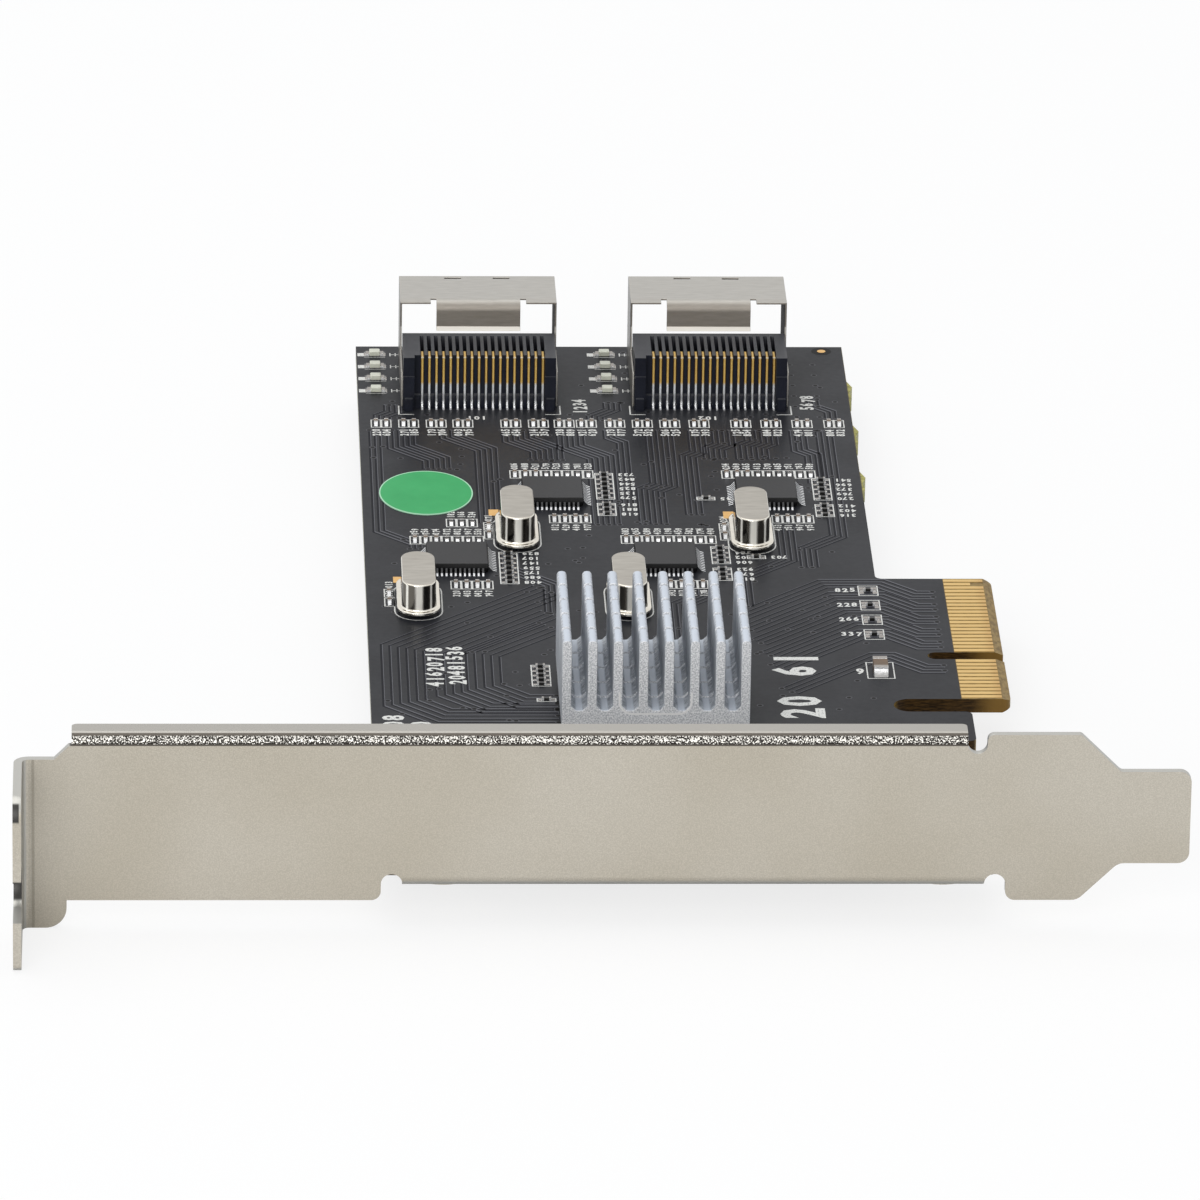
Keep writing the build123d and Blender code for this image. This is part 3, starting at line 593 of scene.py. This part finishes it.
# Plain numbers: each label is its digits, its place in millimetres, its height and its turn.
labels = []
values = random.integers(1, 999, 400)
for i, (px, py) in enumerate(((coupling_low + coupling_high) / 2)[:, :2] / mm):
    labels.append((f"{values[i]:03d}", (px, py - 2.75), 1.0, 90))
front_rows = np.array((39.7, 20.3))
for i, (low, high) in enumerate(zip(small_low / mm, small_high / mm)):
    px, py = ((low + high) / 2)[:2]
    text = f"{values[40 + i]:03d}"
    if high[1] - low[1] > 0.7:
        in_front = np.abs(py - front_rows).min() < 0.5
        labels.append((text, (px, py - 2.5 if in_front else py + 2.5), 0.85, 90))
    elif px < -16 and py > 0:
        labels.append((text, (px + (2.5 if px > -60 else -2.0), py), 0.9, 180))
for i, text in enumerate(("337", "266", "228", "825")):
    labels.append((text, (-16.1, 6.2 + 4.2 * i), 1.1, 0))
labels += [("08", (-65.9, -18.3), 2.4, 90), ("0", (-63.0, -19.2), 2.4, 90), ("9", (-15.7, -4.3), 1.6, 0)]
labels += [("41620718", (-61.2, -3.2), 1.9, 90), ("20481536", (-58.9, -2.8), 1.9, 90)]
labels += [("61", (-22.4, -2.6), 4.8, 90), ("20", (-22.6, -14.5), 4.8, 90)]
labels += [("101", (-54.9, 70.6), 1.1, 180), ("102", (-28.8, 70.6), 1.1, 180)]
labels += [("1234", (-43.2, 74.3), 1.6, 90), ("5678", (-17.4, 75.4), 1.6, 90)]
ink_look, tree, shader, where = new_look("white_ink", 0.6)
worn = between(tree, grain(tree, where, 5.0, 2.0), 0.25, 0.5)
tree.links.new(mixed(tree, worn, srgb(150, 150, 148), srgb(224, 224, 220)), shader.inputs["Base Color"])
new_piece("legend_lines", *joined(frames), ink_look, "board_mask")
new_piece("legend_numbers", *numbers(labels), ink_look, "board_mask")

# The edge contacts: copper fingers on both faces of the tongue under a hard gold plating.
# Plugging the card in has rubbed them faintly along their length.
finger_look, tree, shader, where = new_look("contact_plating", 0.3, 0.9)
x = axes(tree, where)[0]
rubbed = grain(tree, where, 2.0, 3.0, (0.15, 3.0, 1))
plated = mixed(tree, rubbed, srgb(196, 158, 84), srgb(232, 198, 128))
tip = times(tree, between(tree, x, -2.2 * mm, -1.0 * mm), 0.35)
tree.links.new(mixed(tree, tip, plated, srgb(178, 128, 60)), shader.inputs["Base Color"])
relief(tree, shader, rubbed, 0.15, 0.02)
painted("edge_contacts_upper", finger_look)
painted("edge_contacts_lower", finger_look)


# The bracket: one folded sheet of steel, satin nickel over a finely speckled surface.
# The press left a dented band where the lip and flange fold; its dark tone and sparkles are painted
# reflection.
def refined(name, width, look, sharp=35):
    """A skin that stands for a CAD node: its mesh joined up, flat faces merged, edges rounded."""
    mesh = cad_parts[name].data.copy()
    mesh.name = name + "_skin"
    work = bmesh.new()
    work.from_mesh(mesh)
    bmesh.ops.remove_doubles(work, verts=work.verts, dist=0.0005 * mm)
    bmesh.ops.dissolve_limit(work, angle_limit=math.radians(0.5), verts=work.verts, edges=work.edges)
    for face in work.faces:
        face.smooth = True
    work.to_mesh(mesh)
    work.free()
    if "custom_normal" in mesh.attributes:
        mesh.attributes.remove(mesh.attributes["custom_normal"])
    made = placed(name + "_skin", mesh, look)
    bevel = made.modifiers.new("rounding", "BEVEL")
    bevel.width = width * mm
    bevel.segments = 2
    bevel.limit_method = "ANGLE"
    bevel.angle_limit = math.radians(sharp)
    evened = made.modifiers.new("evened", "WEIGHTED_NORMAL")
    evened.mode = "FACE_AREA"
    evened.weight = 100
    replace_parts(made, name)
    return made


bracket_look, tree, shader, where = new_look("satin_nickel", 0.38, 0.75)
x, y, z = axes(tree, where)
nx, ny, nz = facing(tree)
speckle = grain(tree, where, 8.0, 5.0)
cloud = grain(tree, where, 0.05, 2.0)
face_tone = mixed(tree, between(tree, cloud, 0.3, 0.7), srgb(190, 183, 169), srgb(198, 192, 180))
dark_grain = mixed(tree, 0.3, face_tone, srgb(128, 120, 106))
face_tone = mixed(tree, between(tree, speckle, 0.35, 0.7), dark_grain, face_tone)
# Painted light: surfaces turned away from the face, the sheet's edges and the tab, get a flatter grey.
off_face = between(tree, sums(tree, "ABSOLUTE", ny), 0.95, 0.8)
edge = times(tree, off_face, between(tree, y, -56.0 * mm, -56.2 * mm))
face_tone = mixed(tree, edge, face_tone, srgb(178, 177, 172))
# How far up the lip's bend a point is: 0 where it leaves the face, 1 where the lip is level.
lip_top, lip_radius, face_y = 15.4 * mm, 1.26 * mm, -57.15 * mm
height_share, depth_share = 0.927, 0.3745
rise = times(tree, sums(tree, "SUBTRACT", z, lip_top - lip_radius), height_share)
rise = sums(tree, "MULTIPLY_ADD", sums(tree, "SUBTRACT", y, face_y), depth_share, rise)
rise = sums(tree, "DIVIDE", rise, (height_share + depth_share) * lip_radius)
in_lip = times(
    tree,
    between(tree, rise, 0.0, 0.03),
    between(tree, x, -7.3 * mm, -7.6 * mm),
    between(tree, x, -99.9 * mm, -99.7 * mm),
    between(tree, y, -52.0 * mm, -52.2 * mm),
)
# Painted reflection in the fold: a dark band with bright painted glints, the level lip a plainer painted
# grey.
fold = times(tree, between(tree, rise, 0.09, 0.14), between(tree, rise, 0.68, 0.62))
flat_lip = between(tree, rise, 0.8, 0.88)
low_down = times(tree, between(tree, rise, 0.3, 0.1), 0.09)
dents_and_glints = between(tree, sums(tree, "SUBTRACT", grain(tree, where, 6.5, 3.0), low_down), 0.47, 0.58)
painted_glints = mixed(tree, dents_and_glints, srgb(34, 31, 27), srgb(230, 227, 220))
tone = mixed(tree, fold, srgb(84, 79, 73), painted_glints)
tone = mixed(tree, flat_lip, tone, srgb(166, 163, 157))
tone = mixed(tree, in_lip, face_tone, tone)
fold = times(tree, fold, in_lip)
# Painted shade: the end of the tab's slot and the tab's upper corner are painted dark.
on_tab = between(tree, x, -104.2 * mm, -104.6 * mm)
slot_height = times(tree, between(tree, z, -0.45 * mm, -0.2 * mm), between(tree, z, 4.0 * mm, 3.8 * mm))
slot_wall = times(tree, on_tab, slot_height, between(tree, sums(tree, "ABSOLUTE", nx), 0.6, 0.4))
corner_height = times(tree, between(tree, z, 10.3 * mm, 10.6 * mm), between(tree, z, 12.3 * mm, 12.1 * mm))
outermost = times(tree, between(tree, x, -104.8 * mm, -104.95 * mm), between(tree, y, -66.6 * mm, -67.0 * mm))
slot_and_corner_shade = sums(tree, "MAXIMUM", slot_wall, times(tree, corner_height, outermost))
# A faint crease beside the tab's bend is drawn as a darker line of painted shade down the face.
crease_shade = times(
    tree,
    between(tree, x, -103.8 * mm, -103.65 * mm),
    between(tree, x, -103.35 * mm, -103.5 * mm),
    between(tree, ny, -0.7, -0.9),
    0.4,
)
tone = mixed(tree, crease_shade, tone, srgb(118, 112, 100))
tree.links.new(mixed(tree, slot_and_corner_shade, tone, srgb(36, 34, 31)), shader.inputs["Base Color"])
tree.links.new(sums(tree, "MULTIPLY_ADD", slot_and_corner_shade, -0.7, 0.75), shader.inputs["Metallic"])
tree.links.new(sums(tree, "MULTIPLY_ADD", speckle, 0.2, 0.3), shader.inputs["Roughness"])
height = sums(tree, "ADD", times(tree, fold, dents_and_glints), times(tree, speckle, 0.2))
relief(tree, shader, height, 0.4, 0.05)
refined("bracket", 0.09, bracket_look)

# The screws: pan heads of bright zinc-plated steel with a cross recess.
# They hold the board to the bracket's ears, out of sight behind the bracket's face.
zinc_look, tree, shader, where = new_look("bright_zinc", 0.25, 0.95)
tone = mixed(tree, grain(tree, where, 1.5), srgb(168, 172, 178), srgb(222, 224, 228))
tree.links.new(tone, shader.inputs["Base Color"])
relief(tree, shader, grain(tree, where, 4.0), 0.1, 0.02)
refined("bracket_screws", 0.08, zinc_look, 50)

# The connector housings: moulded from near-black plastic, with a comb of slots for the rear
# contacts and a nose that takes the plug. They sit flat on the board.
plastic_look, tree, shader, where = new_look("moulded_black", 0.4, 0.0, 0.3)
nz = facing(tree)[2]
# Painted light and shade: the tops are painted grey, the upright sides near black and bluer.
upper = mixed(tree, grain(tree, where, 0.7), srgb(52, 53, 57), srgb(66, 67, 71))
sides = mixed(tree, grain(tree, where, 0.7), srgb(10, 12, 20), srgb(26, 30, 44))
tree.links.new(mixed(tree, between(tree, nz, 0.6, 0.9), sides, upper), shader.inputs["Base Color"])
relief(tree, shader, grain(tree, where, 7.0), 0.2, 0.02)
for letter in "ab":
    refined(f"connector_{letter}_housing", 0.06, plastic_look)


# The connector shells: folded from thin satin nickel-plated sheet, with a curled tongue over the
# housing that springs against the plug. Their side walls stand on the board.
def along_connector(tree, x, shift):
    """The place along X after the second connector is laid on the first, and a shift."""
    spacing = 26.1 * mm
    second = between(tree, x, -41.6 * mm, -41.4 * mm)
    return sums(tree, "ADD", sums(tree, "MULTIPLY_ADD", second, -spacing, x), shift)


shell_look, tree, shader, where = new_look("shell_nickel", 0.34, 0.7)
x, y, z = axes(tree, where)
nx, ny, nz = facing(tree)
from_centre = along_connector(tree, x, 54.55 * mm)
outward = times(tree, nx, from_centre)
brushed = grain(tree, where, 1.6, 5.0, (0.35, 2.0, 2.0))
top_tone = mixed(tree, brushed, srgb(158, 155, 149), srgb(186, 183, 177))
# Painted shade: side walls that face the middle are painted near black, outer side walls a darker grey.
shaded_inner_side = between(tree, outward, -3.0 * mm, -6.0 * mm)
top_tone = mixed(tree, shaded_inner_side, top_tone, srgb(30, 30, 30))
shaded_outer_side = between(tree, outward, 6.0 * mm, 8.0 * mm)
top_tone = mixed(tree, shaded_outer_side, top_tone, srgb(104, 102, 98))
# Upright faces are painted darker than the top as painted shade; those lower than 7.8 mm get a painted
# highlight.
front_tone = mixed(tree, brushed, srgb(126, 120, 112), srgb(152, 146, 138))
curl = between(tree, z, 7.84 * mm, 7.76 * mm)
front_tone = mixed(tree, curl, front_tone, srgb(216, 212, 204))
# Painted shade darkens the front edges of the side walls.
wall_edge_shade = between(tree, sums(tree, "ABSOLUTE", from_centre), 8.75 * mm, 8.85 * mm)
front_tone = mixed(tree, wall_edge_shade, front_tone, srgb(30, 29, 28))
upright_face = between(tree, ny, -0.2, -0.9)
tree.links.new(mixed(tree, upright_face, top_tone, front_tone), shader.inputs["Base Color"])
tree.links.new(sums(tree, "MULTIPLY_ADD", shaded_inner_side, -0.7, 0.7), shader.inputs["Metallic"])
at_tongue = between(tree, y, 82.6 * mm, 82.4 * mm)
rough = sums(tree, "MULTIPLY_ADD", at_tongue, 0.18, 0.34)
tree.links.new(sums(tree, "MULTIPLY_ADD", shaded_inner_side, 0.5, rough), shader.inputs["Roughness"])
relief(tree, shader, brushed, 0.25, 0.03)
for letter in "ab":
    refined(f"connector_{letter}_shell", 0.04, shell_look)

# The connector contacts: strips of copper alloy bent down from the housing, 18 to a row.
# Their feet are tinned and soldered to the board, and their upper parts are flashed with gold.
gilt_look, tree, shader, where = new_look("gilded_contact", 0.3, 0.55)
x, y, z = axes(tree, where)
gilded = between(tree, z, 3.3 * mm, 3.8 * mm)
contact_pitch = 0.8 * mm
off_middle = sums(tree, "PINGPONG", along_connector(tree, x, 61.0 * mm), contact_pitch / 2)
# Painted highlight along each pin's middle and painted shade at its sides.
lit = between(tree, off_middle, 0.13 * mm, 0.06 * mm)
silver = mixed(tree, lit, srgb(110, 112, 118), srgb(252, 253, 254))
gold_tone = mixed(tree, lit, srgb(128, 82, 26), srgb(255, 214, 122))
# A painted highlight on the contacts' bend.
bend_highlight = times(tree, between(tree, z, 6.5 * mm, 6.75 * mm), between(tree, y, 74.5 * mm, 74.4 * mm))
gold_tone = mixed(tree, bend_highlight, gold_tone, srgb(252, 240, 214))
tree.links.new(mixed(tree, gilded, silver, gold_tone), shader.inputs["Base Color"])
for letter in "ab":
    painted(f"connector_{letter}_upper_contacts", gilt_look)
    painted(f"connector_{letter}_lower_contacts", gilt_look)

# The port controllers: square chips moulded from black epoxy with a matte top.
# Bright tinned leads on all four sides are soldered to the board.
epoxy_look, tree, shader, where = new_look("moulded_epoxy", 0.5, 0.0, 0.25)
nz = facing(tree)[2]
# Painted light and shade: the matte top is painted lighter and the sides near black.
matte_lit_top = mixed(tree, grain(tree, where, 6.0, 3.0), srgb(34, 34, 36), srgb(48, 48, 50))
shaded_side = mixed(tree, grain(tree, where, 2.0), srgb(8, 8, 9), srgb(18, 18, 20))
tree.links.new(mixed(tree, between(tree, nz, 0.5, 0.9), shaded_side, matte_lit_top), shader.inputs["Base Color"])
relief(tree, shader, grain(tree, where, 8.0), 0.25, 0.02)
tin_look, tree, shader, where = new_look("bright_tin", 0.35, 0.08)
z = axes(tree, where)[2]
nx, ny, nz = facing(tree)
tinned = mixed(tree, grain(tree, where, 3.0), srgb(228, 230, 233), srgb(254, 254, 254))
# Painted shade: faces turned straight to the near side are painted grey, and the front leads' shoulders dark.
shaded_near_side = times(tree, between(tree, ny, -0.9, -0.98), between(tree, nz, 0.1, 0.05))
tinned = mixed(tree, shaded_near_side, tinned, srgb(96, 96, 98))
shoulder = between(tree, z, 0.9 * mm, 1.0 * mm)
shaded = times(tree, between(tree, ny, -0.3, -0.6), shoulder, between(tree, nz, 0.05, 0.2))
tree.links.new(mixed(tree, shaded, tinned, srgb(60, 60, 62)), shader.inputs["Base Color"])
for letter in "abcd":
    refined(f"controller_{letter}_body", 0.08, epoxy_look, 20)
    painted(f"controller_{letter}_leads", tin_look)


# The crystals: drawn steel cans, satin on top and bright on the sides, welded to a flange.
# Each stands upright on a black insulating base over the board.
def capsule_shells(centres, length, width, profile, steps=20):
    """Closed cans over capsule outlines; the profile gives outset and level, its end rings are caps."""
    turn = np.linspace(0, math.pi, steps)
    arc = np.stack((np.cos(turn), np.sin(turn)), axis=1)
    straight = (length - width) / 2
    rings = []
    for outset, level in profile:
        far = arc * (width / 2 + outset) + (0, straight)
        flat = np.concatenate((far, -far))
        rings.append(np.column_stack((flat, np.full(len(flat), level))))
    can = np.stack(rings)
    count, stops = len(centres), can.shape[1]
    shift = np.column_stack((centres, np.zeros(count)))[:, None, None, :]
    points = (can[None] + shift).reshape(-1, 3)
    index = np.arange(count * len(profile) * stops).reshape(count, len(profile), stops)
    after = np.roll(index, -1, axis=2)
    walls = np.stack((index[:, :-1], after[:, :-1], after[:, 1:], index[:, 1:]), axis=-1)
    return points, walls.reshape(-1, 4).tolist() + index[:, -1].tolist() + index[:, 0, ::-1].tolist()


base_level = float(can_low[0, 2])
can_level = float(can_high[0, 2])
shoulder = 0.22 * mm
quarter = np.linspace(0, math.pi / 2, 7)
foot = np.linspace(0, math.pi / 2, 5)
flange = np.array(((0.36, 0), (0.47, 0.04), (0.5, 0.12), (0.5, 0.26), (0.46, 0.33), (0.4, 0.35))) * mm
profile = (flange + (0, base_level)).tolist()
profile += [(0.22 * mm * (1 - math.sin(a)), base_level + (0.57 - 0.22 * math.cos(a)) * mm) for a in foot]
profile += [(-shoulder * (1 - math.cos(a)), can_level - shoulder * (1 - math.sin(a))) for a in quarter]
steel_look, tree, shader, where = new_look("drawn_steel", 0.16, 1.0)
x, y, z = axes(tree, where)
nx, ny, nz = facing(tree)
top_face = times(tree, between(tree, nz, 0.7, 0.95), between(tree, z, 4.2 * mm, 4.5 * mm))
satin = mixed(tree, grain(tree, where, 1.2, 4.0, (0.4, 2.0, 1)), srgb(150, 145, 137), srgb(186, 182, 174))
bright = mixed(tree, grain(tree, where, 0.6), srgb(206, 200, 188), srgb(236, 231, 220))
# Painted reflections: upright stripes of painted glare stand at the front of a can and beside its round ends.
side_on = sums(tree, "ABSOLUTE", nx)
glare = times(tree, between(tree, side_on, 0.32, 0.12), between(tree, ny, -0.4, -0.8))
beside = times(tree, between(tree, side_on, 0.6, 0.68), between(tree, side_on, 0.8, 0.72))
glare = times(tree, sums(tree, "MAXIMUM", glare, beside), sums(tree, "SUBTRACT", 1.0, top_face))
# The upright walls are painted dim, as painted reflection.
wall = times(tree, between(tree, z, 1.75 * mm, 1.85 * mm), between(tree, nz, 0.6, 0.3))
dim = mixed(tree, wall, bright, srgb(104, 100, 93))
side_tone = mixed(tree, glare, dim, srgb(250, 247, 238))
tree.links.new(mixed(tree, top_face, side_tone, satin), shader.inputs["Base Color"])
tree.links.new(sums(tree, "MULTIPLY_ADD", top_face, 0.3, 0.1), shader.inputs["Roughness"])
tree.links.new(sums(tree, "MULTIPLY_ADD", glare, -0.75, 1.0), shader.inputs["Metallic"])
relief(tree, shader, times(tree, grain(tree, where, 5.0, 4.0), top_face), 0.2, 0.02)
points, faces = capsule_shells(can_middle, 10.2 * mm, 3.7 * mm, profile)
crystals = new_piece("crystal_shells", points, faces, steel_look, "crystal_steel")
crystals.data.polygons.foreach_set("use_smooth", [len(face) == 4 for face in faces])
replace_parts(crystals, "crystal_cans")
painted("crystal_bases", clouded_look("crystal_base", 0.5, 1.0, srgb(20, 20, 21), srgb(38, 37, 36)))

# The heat sink: extruded aluminium cut across into pins, clear-anodised after its ends were blasted.
# The switch chip and the adhesive pad lie under it.
sink_look, tree, shader, where = new_look("anodised_aluminium", 0.5, 0.25)
x, y, z = axes(tree, where)
nx, ny, nz = facing(tree)
drawn = grain(tree, where, 1.0, 4.0, (3.0, 3.0, 0.15))
tone = mixed(tree, between(tree, drawn, 0.3, 0.7), srgb(150, 155, 163), srgb(210, 214, 219))
# Painted light: the tops are painted paler and bluer than the sides.
tone = mixed(tree, between(tree, nz, 0.7, 0.95), tone, srgb(198, 205, 215))
blasted = grain(tree, where, 6.0, 4.0)
# The ends' pale tone is partly their blasted finish, partly painted light lifting them out of the bracket's
# shadow.
end_face = between(tree, sums(tree, "ABSOLUTE", ny), 0.5, 0.9)
end_tone = mixed(tree, between(tree, blasted, 0.35, 0.65), srgb(196, 199, 204), srgb(252, 253, 255))
# A pale line like the foot of a rounded box is painted on the near end, between its fins.
sink_middle, outline_half, outline_floor, outline_round = -38.4 * mm, 3.8 * mm, 3.9 * mm, 1.4 * mm
sideways = sums(tree, "ABSOLUTE", sums(tree, "SUBTRACT", x, sink_middle))
sideways = sums(tree, "MAXIMUM", sums(tree, "SUBTRACT", sideways, outline_half - outline_round), 0.0)
downward = sums(tree, "MAXIMUM", sums(tree, "SUBTRACT", outline_floor + outline_round, z), 0.0)
reach = sums(tree, "ADD", times(tree, sideways, sideways), times(tree, downward, downward))
reach = sums(tree, "SUBTRACT", sums(tree, "SQRT", reach), outline_round)
pale_outline = times(
    tree,
    between(tree, sums(tree, "ABSOLUTE", reach), 0.15 * mm, 0.06 * mm),
    between(tree, z, 6.5 * mm, 6.2 * mm),
    between(tree, ny, -0.8, -0.95),
    between(tree, reach, -0.45 * mm, -0.1 * mm),
)
end_tone = mixed(tree, pale_outline, end_tone, srgb(255, 255, 255))
tone = mixed(tree, end_face, tone, end_tone)
tree.links.new(sums(tree, "MULTIPLY_ADD", end_face, -0.2, 0.25), shader.inputs["Metallic"])
tree.links.new(tone, shader.inputs["Base Color"])
relief(tree, shader, mixed(tree, end_face, drawn, blasted), 0.25, 0.04)
sink = refined("heat_sink", 0.12, sink_look, 40)
# The fins' tips are rounded along their length, through weights on their upper edges.
mesh = sink.data
flat = np.zeros(len(mesh.vertices) * 3)
mesh.vertices.foreach_get("co", flat)
corners = flat.reshape(-1, 3)
pairs = np.zeros(len(mesh.edges) * 2, np.int64)
mesh.edges.foreach_get("vertices", pairs)
pairs = corners[pairs.reshape(-1, 2)]
near = 0.01 * mm
at_tip = pairs[..., 2].min(axis=1) > corners[:, 2].max() - near
at_tip &= np.abs(pairs[:, 0, 0] - pairs[:, 1, 0]) < near
weight = mesh.attributes.new("bevel_weight_edge", "FLOAT", "EDGE")
weight.data.foreach_set("value", at_tip.astype(np.float32))
tips = sink.modifiers.new("tips", "BEVEL")
tips.width = 0.42 * mm
tips.segments = 3
tips.limit_method = "WEIGHT"
sink.modifiers.move(2, 0)
painted("switch_chip", epoxy_look)
painted("thermal_pad", clouded_look("pad_gum", 0.7, 1.0, srgb(150, 152, 158), srgb(176, 178, 184)))


# The small chip parts: capacitors of brown ceramic and black-glazed resistors with tinned ends.
# Both ends of each are soldered to pads on the board.
def chip_parts(low, high, end_share, body_drop, toe_mm):
    """Bodies, and ends with solder feet, between pairs of corners; the longer side is the length."""
    size = high - low
    lying = (size[:, 0] >= size[:, 1])[:, None]
    first, second = np.where(lying, (1, 0), (0, 1)), np.where(lying, (0, 1), (1, 0))
    along = np.column_stack((first, np.zeros(len(low))))
    across = np.column_stack((second, np.zeros(len(low))))
    length = (size * along).sum(axis=1)[:, None]
    cap = length * end_share * along
    drop = np.array((0, 0, body_drop * mm))
    trim = across * 0.02 * mm
    body = plates(low + cap * 0.98 + trim, high - cap * 0.98 - trim - drop)
    flip = high * along + low * (1 - along)
    back = low * along + high * (1 - along)
    inset = across * 0.03 * mm
    end_low = np.concatenate((low + inset, flip - cap + inset))
    end_high = np.concatenate((back + cap - inset, high - inset))
    ends = plates(end_low, end_high)
    toe = along * toe_mm * mm
    side = across * -0.06 * mm
    foot_low = np.concatenate((low - toe - side, flip - side))
    foot_high = np.concatenate((back + side, high + toe + side))
    feet, faces = plates(foot_low, foot_high)
    feet = feet.reshape(2, len(low), 8, 3)
    middle = ((low + high) / 2)[None, :, None]
    reach = np.abs(((feet - middle) * along[None, :, None]).sum(axis=-1))
    outer = reach > (length[None] / 2 + 0.5 * toe_mm * mm)
    raised = feet[..., 2] > board_top + 0.01 * mm
    inner_height = np.where(lying[None], 0.06 * mm, (feet[..., 2] - board_top) * 0.85)
    feet[..., 2] = np.where(raised, board_top + np.where(outer, 0.04 * mm, inner_height), feet[..., 2])
    return body, joined((ends, (feet.reshape(-1, 3), faces)))


def rounded_piece(name, parts, look, finish, width):
    """Several boxes as one piece with small rounded edges."""
    made = new_piece(name, *parts, look, finish)
    made.data.polygons.foreach_set("use_smooth", np.ones(len(made.data.polygons), bool))
    bevel = made.modifiers.new("rounding", "BEVEL")
    bevel.width = width * mm
    bevel.segments = 2
    bevel.harden_normals = True
    return made


brown_look = clouded_look("brown_ceramic", 0.4, 0.5, srgb(74, 58, 42), srgb(116, 92, 68), glint=0.3)
glaze_look = clouded_look("black_glaze", 0.35, 0.5, srgb(20, 20, 21), srgb(40, 38, 36), glint=0.3)
solder_look, tree, shader, where = new_look("tinned_end", 0.22, 0.5)
solder = mixed(tree, grain(tree, where, 1.6), srgb(208, 210, 212), srgb(250, 250, 250))
# Painted shade: the level tops of the tinned ends are painted darker than their sides.
shaded_level_top = between(tree, facing(tree)[2], 0.85, 0.97)
tree.links.new(mixed(tree, shaded_level_top, solder, srgb(150, 144, 138)), shader.inputs["Base Color"])
relief(tree, shader, grain(tree, where, 2.5), 0.35, 0.08)
kinds = (
    ("coupling_capacitors", coupling_low, coupling_high, brown_look, "ceramic"),
    ("decoupling_capacitors", decoupling_low, decoupling_high, brown_look, "ceramic"),
    ("resistors", resistor_low, resistor_high, glaze_look, "resistor_glaze"),
    ("reservoir_capacitor", reservoir_low, reservoir_high, brown_look, "ceramic"),
)
for name, low, high, look, finish in kinds:
    body, ends = chip_parts(low, high, 0.22, 0.04, 0.4)
    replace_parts(rounded_piece(name + "_bodies", body, look, finish, 0.03), name)
    rounded_piece(name + "_ends", ends, solder_look, finish, 0.06)
# Four more pads stand beside each part by the edge contacts.
array_middle = ((column_low + column_high) / 2)[arrays[:, 0]]
pad_steps = np.array([(sx * 0.74, sy * 0.62) for sx in (-1, 1) for sy in (-1, 1)]) * mm
pad_places = (array_middle[:, None, :2] + pad_steps[None]).reshape(-1, 2)
pad_half = np.array((0.26, 0.3)) * mm
pad_low = np.column_stack((pad_places - pad_half, np.full(len(pad_places), board_top)))
pad_high = np.column_stack((pad_places + pad_half, np.full(len(pad_places), board_top + 0.05 * mm)))
new_piece("array_pads", *plates(pad_low, pad_high), solder_look, "resistor_glaze")

# The status lamps: pale resin lenses cast on tinned carriers, four beside each connector.
# Solder at both ends of a carrier holds it to the board.
resin_look = clouded_look("lamp_resin", 0.3, 0.8, srgb(196, 198, 182), srgb(222, 223, 208))
lenses = chip_parts(lamp_low, lamp_high, 0.2, 0.0, 0.25)[0]
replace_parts(rounded_piece("lamp_lenses", lenses, resin_look, "lamp_resin", 0.12), "status_lamps")
carrier_high = lamp_high.copy()
carrier_high[:, 2] = board_top + 0.28 * mm
carriers = chip_parts(lamp_low, carrier_high, 0.2, 0.0, 0.25)[1]
rounded_piece("lamp_carriers", carriers, solder_look, "lamp_resin", 0.05)

# The sticker: an oval of plain green vinyl with a paler cut edge.
# Its own glue holds it flat on the board.
vinyl_look, tree, shader, where = new_look("green_vinyl", 0.5, 0.0, 0.2)
x, y, z = axes(tree, where)
sticker_x, sticker_y, half_width, half_length = -61.1 * mm, 47.4 * mm, 5.2 * mm, 6.6 * mm
reach_x = sums(tree, "DIVIDE", sums(tree, "SUBTRACT", x, sticker_x), half_width)
reach_y = sums(tree, "DIVIDE", sums(tree, "SUBTRACT", y, sticker_y), half_length)
reach = sums(tree, "ADD", times(tree, reach_x, reach_x), times(tree, reach_y, reach_y))
field = mixed(tree, grain(tree, where, 0.4, 4.0), srgb(46, 152, 88), srgb(64, 172, 104))
cut_edge = between(tree, reach, 0.93, 0.965)
tree.links.new(mixed(tree, cut_edge, field, srgb(176, 222, 190)), shader.inputs["Base Color"])
relief(tree, shader, grain(tree, where, 2.0), 0.1, 0.02)
painted("inspection_sticker", vinyl_look)
